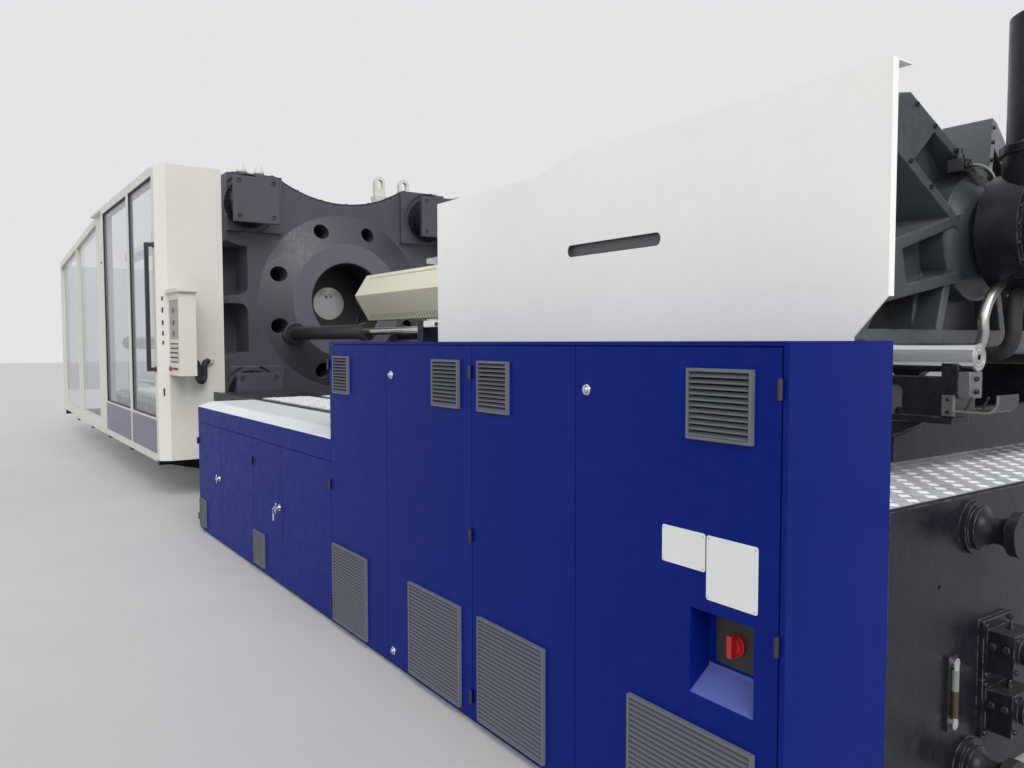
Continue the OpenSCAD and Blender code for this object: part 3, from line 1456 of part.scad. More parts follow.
// Right-angle gearbox on the hub with the upright domed motor on it
module screw_drive() color(cast_black) {
    x0 = yoke_x + yoke_t + 59;
    motor_x = inject_l - 232;
    motor_r = 200;
    union() {
        bar(x0, motor_x, 0, axis_z, 170, $fn = 64);
        bar(x0 + 62, x0 + 240, 0, axis_z, 275, $fn = 72);
        bar(x0 + 239, x0 + 262, 0, axis_z, 240, $fn = 72);
        translate([motor_x, 0, axis_z - 215]) cylinder(h = 560, r = motor_r + 15, $fn = 64);
        translate([motor_x, 0, axis_z + 340]) cylinder(h = 36, r = motor_r + 28, $fn = 64);
        translate([motor_x, 0, axis_z + 375]) rotate_extrude($fn = 64) {
            intersection() {
                square([motor_r, 700]);
                union() {
                    square([motor_r, 480]);
                    translate([0, 225]) circle(r = 400, $fn = 96);
                }
            }
        }
    }
}

// Screw with one lead, its shank and the drive's spline end
module screw() color(bright_steel) {
    lead = 300;
    x0 = nozzle_x0 + 530 + inject_stroke;
    x1 = block_x0 + block_l - 60;
    flight_l = x1 - 300 - x0;
    turns = floor(flight_l / lead);
    union() {
        bar(x1 - 300, x1 + 40, 0, axis_z, screw_bore_r - fit_gap, $fn = 64);
        bar(x1 + 39, yoke_x + yoke_t - 40, 0, axis_z, 90, $fn = 64);
        bar(x0 - 1, x1 - 299, 0, axis_z, 72);
        bar(x0 - 60, x0, 0, axis_z, screw_bore_r - fit_gap, $fn = 64);
        translate([x0, 0, axis_z]) rotate([0, 90, 0]) {
            linear_extrude(height = flight_l, twist = 360 * turns, slices = turns * 6, $fn = 6) {
                polygon([[62, -20], [screw_bore_r - 4, -13], [screw_bore_r - 4, 13], [62, 20]]);
            }
        }
    }
}

// Moves the machine so that the origin is the middle of its footprint
module placed() {
    translate([row_x, 0, 0]) children();
}

placed() clamp_bed();
placed() injection_bed();
placed() slide_ways();
placed() levelling_feet();
placed() tread_plates();
placed() fixed_platen();
placed() clamp_cylinders();
placed() cylinder_covers();
placed() tie_bars();
placed() nozzle_plug();
placed() lifting_lugs();
placed() breather_caps();
placed() guard_posts();
placed() front_guard_frame();
placed() rear_guard_frame();
placed() fixed_windows();
placed() operator_panel();
placed() panel_screen();
placed() cable_conduit();
placed() stroke_rods();
placed() carriage_cylinders();
placed() side_guards();
placed() tall_cabinet();
placed() low_cabinet();
placed() cabinet_cover();
placed() cabinet_hinges();
placed() oil_gauge();
placed() moving_platen();
placed() stroke_cylinders();
placed() nut_halves_front();
placed() nut_halves_rear();
placed() ejector();
placed() front_door_frame();
placed() front_door_window();
placed() front_door_handle();
placed() rear_door_frame();
placed() rear_door_window();
placed() rear_door_handle();
placed() tall_door_1();
placed() tall_door_2();
placed() tall_door_3();
placed() tall_door_4();
placed() low_door_1();
placed() low_door_2();
placed() low_door_3();
placed() low_door_4();
placed() switch_plate();
placed() switch_handle();
placed() stop_button();
placed() carriage_frame();
placed() barrel_block();
placed() barrel();
placed() barrel_cover();
placed() guide_bars();
placed() injection_cylinders();
placed() carriage_rods();
placed() spider_yoke();
placed() injection_rods();
placed() screw_drive();
placed() screw();
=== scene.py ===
"""Looks of the injection moulding machine: finishes, small pieces, floor, light and camera."""

import json
import math

import bmesh
import bpy
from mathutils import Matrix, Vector


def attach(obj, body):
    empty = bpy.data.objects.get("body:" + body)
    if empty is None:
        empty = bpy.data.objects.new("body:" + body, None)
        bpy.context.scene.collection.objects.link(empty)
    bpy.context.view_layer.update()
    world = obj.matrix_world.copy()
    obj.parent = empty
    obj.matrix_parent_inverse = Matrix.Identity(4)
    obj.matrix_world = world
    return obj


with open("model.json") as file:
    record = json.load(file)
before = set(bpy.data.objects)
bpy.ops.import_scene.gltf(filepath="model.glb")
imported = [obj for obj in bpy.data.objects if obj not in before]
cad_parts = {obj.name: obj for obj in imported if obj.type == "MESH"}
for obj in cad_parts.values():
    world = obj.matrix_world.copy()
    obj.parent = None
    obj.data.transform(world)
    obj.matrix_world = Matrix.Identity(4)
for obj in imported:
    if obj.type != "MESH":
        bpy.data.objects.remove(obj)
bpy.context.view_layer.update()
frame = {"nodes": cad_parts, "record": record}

# Place along the row frame, in metres, of the machine's own zero: the fixed platen's injection side
ZERO_X = 0.214

# Places in the machine's own millimetres: distances from the middle plane, heights, and how far
# along the machine the guide bars end
AXIS = 2200
CLAMP_CYLINDER_Y, CLAMP_CYLINDER_Z = 1165, (AXIS - 1085, AXIS + 1085)
CARRIAGE_CYLINDER_Y, CARRIAGE_CYLINDER_Z = 678, 1811
UPPER_ROD_Y, UPPER_ROD_Z = 430, AXIS + 470
LOWER_ROD_Y, LOWER_ROD_Z = 612, AXIS - 180
GUIDE_BAR_Y, GUIDE_BAR_Z, GUIDE_BAR_END = 1048, 1650, 8054
PORT_BLOCK_Y, PORT_BLOCK_Z = 998, (612, 400)
TREAD_FLAT, TREAD_RAISED = 1173.9, 1175.7


def row_x(x):
    """Place along the row frame of a place along the machine in millimetres."""
    return x / 1000 + ZERO_X


def linear(red, green, blue):
    """Linear colour of a paint that is written as 0 to 255 on a screen."""
    out = []
    for level in (red, green, blue):
        level /= 255
        out.append(level / 12.92 if level <= 0.04045 else ((level + 0.055) / 1.055) ** 2.4)
    return (*out, 1.0)


# Shader maths
class Field:
    """A number that changes over a surface: a socket that the operators work on."""

    def __init__(self, finish, socket):
        self.finish, self.socket = finish, socket

    def _maths(self, operation, *values):
        return self.finish.node("ShaderNodeMath", {"operation": operation}, dict(enumerate(values)))

    def __add__(self, other):
        return self._maths("ADD", self, other)

    def __sub__(self, other):
        return self._maths("SUBTRACT", self, other)

    def __rsub__(self, other):
        return self._maths("SUBTRACT", other, self)

    def __mul__(self, other):
        return self._maths("MULTIPLY", self, other)

    def __lt__(self, other):
        return self._maths("LESS_THAN", self, other)

    def __gt__(self, other):
        return self._maths("GREATER_THAN", self, other)

    def __pow__(self, other):
        return self._maths("POWER", self, other)

    __radd__, __rmul__ = __add__, __mul__

    def size(self):
        return self._maths("ABSOLUTE", self)


class Finish:
    """One procedural material. Constants are named as the shader's own sockets."""

    def __init__(self, name, colour, roughness=0.5, metallic=0.0, **constants):
        self.material = bpy.data.materials.new(name)
        self.material.use_nodes = True
        self.tree = self.material.node_tree
        self.shader = self.tree.nodes["Principled BSDF"]
        self.made = {}
        self.put("Base Color", colour)
        self.put("Roughness", roughness)
        self.put("Metallic", metallic)
        for socket, value in constants.items():
            self.put(socket.replace("_", " "), value)

    def put(self, socket, value):
        if isinstance(value, Field):
            self.tree.links.new(value.socket, self.shader.inputs[socket])
        else:
            self.shader.inputs[socket].default_value = value

    def node(self, kind, settings, values, out=0):
        made = self.tree.nodes.new(kind)
        for key, value in settings.items():
            setattr(made, key, value)
        for key, value in values.items():
            if isinstance(value, Field):
                self.tree.links.new(value.socket, made.inputs[key])
            else:
                made.inputs[key].default_value = value
        return Field(self, made.outputs[out])

    def place(self):
        if "place" not in self.made:
            self.made["place"] = self.node("ShaderNodeTexCoord", {}, {}, "Object")
        return self.made["place"]

    def along(self, axis):
        if axis not in self.made:
            self.made[axis] = self.node("ShaderNodeSeparateXYZ", {}, {0: self.place()}, axis)
        return self.made[axis]

    def facing(self, axis):
        key = "facing" + axis
        if key not in self.made:
            normal = self.node("ShaderNodeNewGeometry", {}, {}, "Normal")
            self.made[key] = self.node("ShaderNodeSeparateXYZ", {}, {0: normal}, axis)
        return self.made[key]

    def stretched(self, scale):
        return self.node("ShaderNodeVectorMath", {"operation": "MULTIPLY"}, {0: self.place(), 1: scale})

    def noise(self, scale, detail=3.0, rough=0.5, stretch=None):
        where = self.stretched(stretch) if stretch else self.place()
        values = {"Vector": where, "Scale": scale, "Detail": detail, "Roughness": rough}
        return self.node("ShaderNodeTexNoise", {}, values, 0)

    def between(self, value, low, high):
        """0 below low and 1 above high, with a smooth step between."""
        values = {"Value": value, "From Min": low, "From Max": high}
        return self.node("ShaderNodeMapRange", {"interpolation_type": "SMOOTHSTEP"}, values)

    def blend(self, first, second, share):
        values = {"Factor": share, 6: first, 7: second}
        return self.node("ShaderNodeMix", {"data_type": "RGBA"}, values, 2)

    def inside(self, axis, low, high):
        """1 between two places along an axis of the row frame in metres, else 0."""
        return (self.along(axis) > low) * (self.along(axis) < high)

    def within(self, x, y, z):
        """1 inside a box given in the machine's own millimetres, else 0. None leaves a side open."""
        share = None
        for axis, span in (("X", x), ("Y", y), ("Z", z)):
            if span:
                low, high = [row_x(place) if axis == "X" else place / 1000 for place in span]
                part = self.inside(axis, low, high)
                share = part if share is None else share * part
        return share

    def from_axis(self):
        """Distance from the screw's axis, in metres."""
        high = self.along("Z") - AXIS / 1000
        across = self.along("Y")
        return (high * high + across * across) ** 0.5

    def rounded(self, radius):
        return self.node("ShaderNodeBevel", {"samples": 4}, {"Radius": radius})

    def corners(self, radius):
        """1 on the outer and inner corners of a piece, where paint rubs off first."""
        flat = self.node("ShaderNodeNewGeometry", {}, {}, "Normal")
        same = self.node("ShaderNodeVectorMath", {"operation": "DOT_PRODUCT"},
                         {0: self.rounded(radius), 1: flat}, "Value")
        return self.between(1 - same, 0.01, 0.12)

    def relief(self, height, depth, strength=1.0, under=None):
        values = {"Height": height, "Distance": depth, "Strength": strength}
        if under is not None:
            values["Normal"] = under
        return self.node("ShaderNodeBump", {}, values)


def tone(colour, factor):
    """Colour made darker or lighter by a factor."""
    return (*[min(1.0, part * factor) for part in colour[:3]], 1.0)


def paint(name, colour, roughness, dust=0.25, wear=0.0, peel=0.0002, shift=0.08, edge=0.0, wave=0.0,
          rubbed=0.0, parts=(), **constants):
    """Powder coat or paint: slight colour drift, dust on what faces up, scuffs and orange peel.

    Parts are pairs of a function that gives a mask and the colour under it.
    """
    made = Finish(name, colour, roughness, **constants)
    drift = made.noise(0.9, 4.0, 0.6)
    fine = made.noise(14.0, 5.0, 0.65)
    body = made.blend(tone(colour, 1 - shift), tone(colour, 1 + shift), drift)
    for mask, other in parts:
        body = made.blend(body, other, mask(made))
    dirt = made.between(fine, 0.42, 0.78) * 0.35 + made.between(made.facing("Z"), 0.5, 1.0) * 0.65
    body = made.blend(body, linear(146, 140, 130), dirt * dust)
    scuff = made.noise(9.0, 2.0, 0.5, (1.0, 1.0, 6.0))
    marks = made.between(scuff, 0.66, 0.72) * wear
    body = made.blend(body, tone(colour, 0.55), marks)
    if rubbed:
        bare = made.corners(0.006) * made.between(made.noise(22.0, 4.0, 0.6), 0.4, 0.62) * rubbed
        body = made.blend(body, RAW_STEEL, bare)
    made.put("Base Color", body)
    made.put("Roughness", made.between(fine, 0.2, 0.9) * 0.18 + (roughness - 0.06) + marks * 0.2)
    skin = made.noise(420.0, 1.0)
    if wave:
        skin = skin + made.noise(10.0, 4.0, 0.6) * wave
    made.put("Normal", made.relief(skin, peel, 0.5, made.rounded(edge) if edge else None))
    return made


def casting(name, colour, roughness, grain=0.0016, dust=0.2, edge=0.012, parts=()):
    """Painted casting: sand-cast skin with shallow pits, rubbed and dusty in places."""
    made = Finish(name, colour, roughness)
    drift = made.noise(1.6, 5.0, 0.6)
    fine = made.noise(30.0, 5.0, 0.7)
    body = made.blend(tone(colour, 0.72), tone(colour, 1.3), drift)
    for mask, other in parts:
        body = made.blend(body, other, mask(made))
    body = made.blend(body, tone(colour, 2.1), made.between(fine, 0.56, 0.8) * 0.22)
    body = made.blend(body, linear(128, 122, 114), made.between(made.facing("Z"), 0.6, 1.0) * dust)
    bare = made.corners(edge) * made.between(made.noise(12.0, 4.0, 0.6), 0.42, 0.62) * 0.5
    body = made.blend(body, linear(124, 128, 126), bare)
    made.put("Base Color", body)
    made.put("Roughness", made.between(fine, 0.25, 0.8) * 0.22 + (roughness - 0.08))
    skin = made.noise(46.0, 4.0, 0.6) + made.noise(190.0, 2.0, 0.6) * 0.35
    made.put("Normal", made.relief(skin, grain, 0.6, made.rounded(edge)))
    return made


def steel(name, colour, roughness, lines=(4.0, 260.0, 260.0), stain=0.25):
    """Bare steel with machining lines, thin oil stains and small scratches."""
    made = Finish(name, colour, roughness, 1.0)
    line = made.noise(1.0, 3.0, 0.6, lines)
    blot = made.noise(5.0, 4.0, 0.6)
    body = made.blend(tone(colour, 0.8), tone(colour, 1.1), line)
    body = made.blend(body, tone(colour, 0.45), made.between(blot, 0.52, 0.75) * stain)
    made.put("Base Color", body)
    made.put("Roughness", line * 0.2 + (roughness - 0.1) + made.between(blot, 0.5, 0.8) * 0.2)
    made.put("Normal", made.relief(line, 0.0003, 0.35))
    return made


# Finishes
CREAM = linear(208, 205, 196)
BLUE = linear(3, 30, 112)
RAW_STEEL = linear(120, 122, 124)
# Louvre grilles on the cabinets' doors, from low X to high X and from low Z to high Z
GRILLES = (
    (7737, 7987, 1410, 1628), (7478, 8004, 45, 510), (6530, 6760, 1410, 1628), (6524, 7001, 45, 510),
    (6133, 6371, 1410, 1628), (5880, 6372, 45, 510), (4951, 5166, 1410, 1628), (4912, 5377, 45, 510),
    (3395, 3628, 57, 304), (1840, 2030, 57, 304),
)
# Boxes along X, Y and Z: the ledge under the main switch, and the grip slots in the side guards
LEDGE = ((7751, 7996), (-2197.5, -2105), (600, 686))
GRIP = ((6446, 7066), None, (2100, 2166))
# Distances in metres: skin of the side guards round a grip from the middle plane, rings of the
# fixed platen's boss from the screw's axis, and where along the row frame its faces lie
GRIP_SKIN = (1.61, 1.6445)
BOSS_INNER, BORE_MOUTH, BOSS_OUTER, CONE_OUTER = 0.452, 0.474, 0.692, 1.052
BOSS_FRONT_X, CONE_FOOT_X, BORE_X = 0.36, 0.2145, (-0.3, 0.368)


def on_grilles(made):
    """Louvres on the outer faces of the cabinets' doors."""
    share = None
    for x0, x1, z0, z1 in GRILLES:
        part = made.within((x0 - 0.5, x1 + 0.5), None, (z0 - 0.5, z1 + 0.5))
        share = part if share is None else share + part
    return share * (made.along("Y") < -2.19)


def ledge_painted_light(made):
    """Sloped ledge under the main switch, painted a lighter blue as painted light where the light falls on
    it.
    """
    return made.within(*LEDGE) * 0.8


def shaded_grip_slot(made):
    """Floor and sides of the grip slot in the injection unit's side guards, painted darker grey as painted
    shade in the recess.
    """
    deep = made.along("Y").size()
    return made.within(*GRIP) * (deep > GRIP_SKIN[0]) * (deep < GRIP_SKIN[1])


def lit_boss_face(made):
    """Flat ring of the fixed platen's boss, painted lighter as painted light where it faces the light."""
    r = made.from_axis()
    return (r > BOSS_INNER) * (r < BOSS_OUTER) * (made.along("X") > BOSS_FRONT_X)


def shaded_boss_cone(made):
    """Cone between the boss's flat ring and the platen, painted darker as painted shade where it faces away
    from the light.
    """
    r = made.from_axis()
    return (r > BOSS_OUTER) * (r < CONE_OUTER) * (made.along("X") > CONE_FOOT_X)


def shaded_nozzle_bore(made):
    """Inside of the bore that the nozzle comes through, painted dark as painted shade in the hollow."""
    return (made.from_axis() < BORE_MOUTH) * made.inside("X", *BORE_X)


cream = paint("guard_cream", CREAM, 0.42, dust=0.14, wear=0.04, edge=0.003)
# Side guards: painted shade, a darker grey on the floor and sides of the grip slot.
side_white = paint("side_guard_white", linear(242, 242, 235), 0.4, dust=0.08, wear=0.04, edge=0.003,
                   parts=((shaded_grip_slot, linear(84, 86, 90)),))
strip_white = paint("strip_white", linear(232, 236, 240), 0.34, dust=0.05, edge=0.004)
hood_cream = paint("hood_cream", linear(214, 212, 188), 0.4, dust=0.12, wear=0.06, edge=0.004)
# Cabinet blue: grey on the louvre grilles, and painted light on the ledge under the main switch as a lighter
# blue.
blue = paint("cabinet_blue", BLUE, 0.42, dust=0.03, shift=0.1, edge=0.003, peel=0.00005,
             parts=((on_grilles, linear(104, 108, 114)), (ledge_painted_light, linear(96, 110, 176))),
             Specular_IOR_Level=0.08)
bed = paint("bed_black", linear(26, 29, 36), 0.28, dust=0.12, wear=0.25, peel=0.0006, shift=0.3, edge=0.004,
            wave=7.0, rubbed=0.8, Specular_IOR_Level=0.2)
# Platen grey: painted light on the boss's flat ring, painted shade on its cone and inside the nozzle bore.
grey_casting = casting("platen_grey", linear(66, 64, 75), 0.46, parts=(
    (lit_boss_face, linear(88, 86, 98)), (shaded_boss_cone, linear(62, 60, 70)), (shaded_nozzle_bore, linear(32, 31, 36))))
yoke_casting = casting("yoke_black", linear(62, 68, 71), 0.36, grain=0.0012, edge=0.016)
black_paint = paint("cylinder_black", linear(34, 34, 38), 0.3, dust=0.12, edge=0.002, rubbed=0.5)
ground = steel("ground_steel", linear(176, 176, 178), 0.34)
chrome = steel("chromed_bar", linear(220, 222, 226), 0.14, (1.2, 500.0, 500.0), 0.08)
dark_steel = steel("blackened_steel", linear(78, 78, 82), 0.5)
barrel_steel = steel("barrel_steel", linear(150, 140, 128), 0.4)
zinc = steel("zinc_plated", linear(178, 178, 172), 0.3)
machined = steel("machined_grey", linear(136, 138, 142), 0.45)
rubber = paint("hose_rubber", linear(34, 34, 36), 0.6, dust=0.2, peel=0.0008)
black_plastic = paint("handle_black", linear(30, 30, 31), 0.5, dust=0.08, peel=0.0004)
screen = paint("screen_glass", linear(36, 42, 46), 0.12, dust=0.03, peel=0.0, Coat_Weight=0.6)
red = paint("signal_red", linear(178, 28, 26), 0.35, dust=0.05)
plate_white = paint("plate_white", linear(222, 224, 220), 0.35, dust=0.06)
trunk_grey = paint("trunk_grey", linear(150, 152, 154), 0.5, dust=0.15)
device_grey = paint("device_grey", linear(188, 188, 182), 0.45, dust=0.12)
panel_grey = paint("panel_grey", linear(104, 104, 124), 0.38, dust=0.12, wear=0.1)


def tread_metal():
    """Worn aluminium: the raised bars painted near white, partly polished wear and partly a painted
    highlight; duller and dirtier between them.
    """
    made = Finish("tread_aluminium", linear(196, 198, 202), 0.36, 0.1)
    dirt = made.noise(7.0, 5.0, 0.65)
    # Raised bars painted near white: partly polished wear, partly a painted highlight.
    high = made.between(made.along("Z"), (TREAD_FLAT + 0.2) / 1000, (TREAD_RAISED - 0.5) / 1000)
    flat = made.blend(linear(218, 220, 224), linear(172, 174, 176), made.between(dirt, 0.42, 0.72))
    made.put("Base Color", made.blend(flat, linear(246, 248, 250), high))
    made.put("Roughness", made.between(dirt, 0.3, 0.8) * 0.2 + 0.28)
    made.put("Normal", made.relief(made.noise(160.0, 2.0), 0.0003, 0.4))
    return made


# Oil gauge in metres of the row frame: front of its bracket, tube from low to high, and oil level
BRACKET_FRONT_X, TUBE_Z, OIL_LEVEL = 8.3285, (0.424, 0.590), 0.517


def gauge_metal():
    """Oil gauge: black bracket, plated nuts and a stained tube with oil half-way up."""
    made = Finish("oil_gauge", linear(200, 202, 204), 0.2, 1.0)
    plate = made.along("X") < BRACKET_FRONT_X
    tube = made.inside("Z", *TUBE_Z) * (made.along("X") > BRACKET_FRONT_X)
    low = made.along("Z") < OIL_LEVEL
    body = made.blend(linear(206, 208, 208), linear(30, 31, 34), plate)
    body = made.blend(body, made.blend(linear(120, 124, 120), linear(66, 52, 30), low), tube)
    made.put("Base Color", body)
    made.put("Metallic", (plate + tube) * -1.0 + 1.0)
    made.put("Roughness", plate * 0.25 + made.noise(60.0) * 0.08 + 0.1)
    return made


def pane():
    """Clear safety pane: painted pale as a painted reflection, with the dark inside showing through."""
    made = Finish("clear_pane", linear(176, 184, 190), 0.05, IOR=1.5, Coat_Weight=0.5)
    haze = made.noise(1.4, 5.0, 0.6)
    made.put("Roughness", made.between(haze, 0.3, 0.8) * 0.05 + 0.03)
    # Pale cloudy base colour: a painted reflection.
    made.put("Base Color", made.blend(linear(170, 178, 184), linear(188, 196, 202), haze))
    made.put("Alpha", made.between(haze, 0.2, 0.9) * 0.06 + 0.32)
    return made


tread = tread_metal()
gauge = gauge_metal()
clear = pane()

FINISH_OF = {
    "bed_black": bed, "cast_grey": grey_casting, "yoke_paint": yoke_casting,
    "cylinder_black": black_paint, "way_steel": ground, "chromed_bar": chrome,
    "foot_steel": dark_steel, "tread": tread, "guard_cream": cream, "hood_cream": hood_cream,
    "clear_pane": clear, "cabinet_blue": blue, "handle_black": black_plastic,
    "conduit_rubber": rubber, "screen": screen, "signal_red": red, "barrel_steel": barrel_steel,
}
OWN_FINISH = {"side_guards": side_white, "cabinet_cover": strip_white, "oil_gauge": gauge}


def dress_nodes():
    for part in frame["record"]["subparts"]:
        node = frame["nodes"][part["node"]]
        node.data.materials.clear()
        finish = OWN_FINISH.get(part["node"], FINISH_OF[part["material_slot"]])
        node.data.materials.append(finish.material)


dress_nodes()


# Making pieces
def spot(x, y, z):
    """Place in the row frame of a point in the machine's own millimetres."""
    return Vector((row_x(x), y / 1000, z / 1000))


class Work:
    """One piece while it is being made, in the machine's own millimetres."""

    def __init__(self):
        self.mesh = bmesh.new()

    def loft(self, rings, capped=True):
        """Skin over rings that have the same number of points. Without caps the last meets the first."""
        made = [[self.mesh.verts.new(spot(*p)) for p in ring] for ring in rings]
        count = len(made[0])
        for low, high in zip(made, made[1:] if capped else made[1:] + made[:1]):
            for i in range(count):
                j = (i + 1) % count
                self.mesh.faces.new((low[i], low[j], high[j], high[i]))
        if capped:
            self.mesh.faces.new(list(reversed(made[0])))
            self.mesh.faces.new(made[-1])

    def box(self, low, high):
        (x0, y0, z0), (x1, y1, z1) = low, high
        ring = [(x0, y0), (x1, y0), (x1, y1), (x0, y1)]
        self.loft([[(x, y, z) for x, y in ring] for z in (z0, z1)])

    def turned(self, start, direction, profile, sides=24, capped=True):
        """Form turned on a lathe: profile is pairs of distance along the direction and radius."""
        along = Vector(direction).normalized()
        side = along.orthogonal().normalized()
        up = along.cross(side)
        rings = []
        for distance, radius in profile:
            centre = Vector(start) + along * distance
            rings.append([
                tuple(centre + radius * (math.cos(a) * side + math.sin(a) * up))
                for a in (2 * math.pi * i / sides for i in range(sides))
            ])
        self.loft(rings, capped)

    def bar(self, start, end, radius, sides=16):
        length = (Vector(end) - Vector(start)).length
        self.turned(start, Vector(end) - Vector(start), [(0, radius), (length, radius)], sides)

    def screw_head(self, at, direction, radius):
        """Socket head screw: chamfered head with a sunk socket."""
        r = radius
        head = [(0, r), (0.85 * r, r), (r, 0.9 * r), (r, 0.55 * r), (0.4 * r, 0.5 * r)]
        self.turned(at, direction, head, 16)

    def pipe(self, points, radius, bend):
        """Pipe along straight runs with round bends between them."""
        path = [Vector(points[0])]
        for before, corner, after in zip(points, points[1:], points[2:]):
            before, corner, after = Vector(before), Vector(corner), Vector(after)
            reach = min(bend, (corner - before).length * 0.45, (after - corner).length * 0.45)
            first = corner + (before - corner).normalized() * reach
            last = corner + (after - corner).normalized() * reach
            for i in range(7):
                t = i / 6
                path.append(first * (1 - t) ** 2 + corner * 2 * t * (1 - t) + last * t * t)
        path.append(Vector(points[-1]))
        self.sweep(path, radius, 14)

    def sweep(self, path, radius, sides):
        """Round bar along a path of points."""
        path = [Vector(p) for p in path]
        along = (path[1] - path[0]).normalized()
        side = along.orthogonal().normalized()
        rings = []
        for i, point in enumerate(path):
            ahead = path[min(i + 1, len(path) - 1)] - path[max(i - 1, 0)]
            along = ahead.normalized()
            side = (side - along * side.dot(along)).normalized()
            up = along.cross(side)
            rings.append([
                tuple(point + radius * (math.cos(a) * side + math.sin(a) * up))
                for a in (2 * math.pi * k / sides for k in range(sides))
            ])
        self.loft(rings)

    def done(self, name, body, slot, finish, bevel=0.0):
        """Turns the work into a piece that rides on a body, with its edges rounded by the bevel."""
        bmesh.ops.recalc_face_normals(self.mesh, faces=self.mesh.faces)
        mesh = bpy.data.meshes.new(name)
        self.mesh.to_mesh(mesh)
        self.mesh.free()
        mesh.polygons.foreach_set("use_smooth", [True] * len(mesh.polygons))
        mesh.set_sharp_from_angle(angle=math.radians(35))
        mesh.materials.append(finish.material)
        made = bpy.data.objects.new(name, mesh)
        bpy.context.collection.objects.link(made)
        if bevel:
            edge = made.modifiers.new("edges", "BEVEL")
            edge.width, edge.segments, edge.limit_method = bevel / 1000, 2, "ANGLE"
            edge.angle_limit = math.radians(40)
        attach(made, body)


# Cabinets
DOOR_Y = -2198
TALL_LOCKS = {"tall_leaf_1": [(7252, 1537)], "tall_leaf_3": [(5698, 1540), (5698, 97)]}
LOW_LOCKS = {"low_leaf_2": [(3955, 560)], "low_leaf_4": [(2470, 560)]}


def quarter_turn_locks():
    """Chromed quarter-turn locks: dished rim round a barrel with a raised bar."""
    for leaf, places in TALL_LOCKS.items():
        work = Work()
        for x, z in places:
            rim = [(0, 21), (7, 21), (11, 18), (12, 14), (8, 12.5), (16, 12), (17.5, 10.5)]
            work.turned((x, DOOR_Y + 1, z), (0, -1, 0), rim, 28)
            work.box((x - 2, DOOR_Y - 22, z - 9), (x + 2, DOOR_Y - 16, z + 9))
        work.done(f"{leaf}_locks", leaf, "chromed_bar", chrome, 0.6)


def wing_locks():
    """Chromed wing locks of the low doors, one with its key and tag left in."""
    for leaf, places in LOW_LOCKS.items():
        work = Work()
        for x, z in places:
            work.turned((x, DOOR_Y + 1, z), (0, -1, 0), [(0, 24), (5, 24), (8, 20), (22, 12)], 24)
            work.box((x - 36, DOOR_Y - 30, z - 8), (x + 36, DOOR_Y - 19, z + 8))
            work.box((x - 8, DOOR_Y - 30, z - 36), (x + 8, DOOR_Y - 19, z + 36))
        if leaf == "low_leaf_2":
            x, z = places[0]
            work.box((x - 3, DOOR_Y - 52, z - 5), (x + 3, DOOR_Y - 28, z + 5))
            hoop = [
                (x + 20 * math.sin(a), DOOR_Y - 44, z - 20 + 20 * math.cos(a))
                for a in (2 * math.pi * i / 20 for i in range(20))
            ]
            work.sweep(hoop, 1.6, 6)
            work.box((x - 15, DOOR_Y - 47, z - 86), (x + 13, DOOR_Y - 43, z - 38))
        work.done(f"{leaf}_locks", leaf, "chromed_bar", chrome, 2.0)


def rounded_plate(work, xs, zs, corner, ys):
    """Plate with round corners in X and Z, between two places along Y."""
    (x0, x1), (z0, z1) = xs, zs
    ring = []
    for cx, cz, a0 in ((x1 - corner, z1 - corner, 0), (x0 + corner, z1 - corner, 90),
                       (x0 + corner, z0 + corner, 180), (x1 - corner, z0 + corner, 270)):
        for i in range(5):
            a = math.radians(a0 + i * 22.5)
            ring.append((cx + corner * math.cos(a), cz + corner * math.sin(a)))
    work.loft([[(x, y, z) for x, z in ring] for y in ys])


def blank_plates():
    """Two bare plates on the end door, each held by four small screws."""
    plates = (((7628, 1002), (7810, 1121)), ((7815, 921), (8008, 1120)))
    work, heads = Work(), Work()
    for (x0, z0), (x1, z1) in plates:
        rounded_plate(work, (x0, x1), (z0, z1), 8, (DOOR_Y + 0.2, DOOR_Y - 1.4))
        for x in (x0 + 9, x1 - 9):
            for z in (z0 + 9, z1 - 9):
                heads.turned((x, DOOR_Y - 1.4, z), (0, -1, 0), [(0, 3.4), (1.2, 3.0), (1.8, 1.6)], 12)
    work.done("blank_plates", "tall_leaf_1", "guard_cream", plate_white, 0.3)
    heads.done("blank_plate_screws", "tall_leaf_1", "chromed_bar", chrome)


BAY_BACK_Y = -1708
BAYS = (
    # low X, high X, low Z, high Z, and what each rail carries, from the top
    (4897, 6448, 150, 1640, ("drives", "contactors", "breakers", "terminals")),
    (6488, 8060, 150, 1640, ("breakers", "drives", "contactors", "terminals")),
    (1825, 3347, 150, 960, ("valves", "valves", "terminals")),
    (3387, 4857, 150, 960, ("valves", "terminals", "valves")),
)
# width, height and depth of a module, width of its narrower front, gap to the next
MODULES = {
    "drives": (190, 340, 190, 150, 34), "contactors": (72, 118, 112, 58, 12),
    "breakers": (54, 92, 70, 48, 1.5), "terminals": (8, 62, 48, 7, 0.6),
    "valves": (76, 150, 190, 50, 46),
}
# Height of the trunking, space above and below a row, and how far from the plate's ends they start
TRUNK, ROW_SPACE = 60, 20
TRUNK_INSET, RAIL_INSET, DEVICE_INSET = 20, 30, 40


def cable_trunk(work, x0, x1, z):
    """Slotted cable trunking: a lid on two combs."""
    y, out, wall, tooth, pitch = BAY_BACK_Y - 6, 70, 3, 13, 20
    work.box((x0, y - out, z), (x1, y - out + wall, z + TRUNK))
    work.box((x0, y - wall, z), (x1, y, z + TRUNK))
    for i in range(int((x1 - x0) / pitch)):
        x = x0 + i * pitch
        for low in (z, z + TRUNK - 2):
            work.box((x, y - out + wall, low), (x + tooth, y - wall, low + 2))


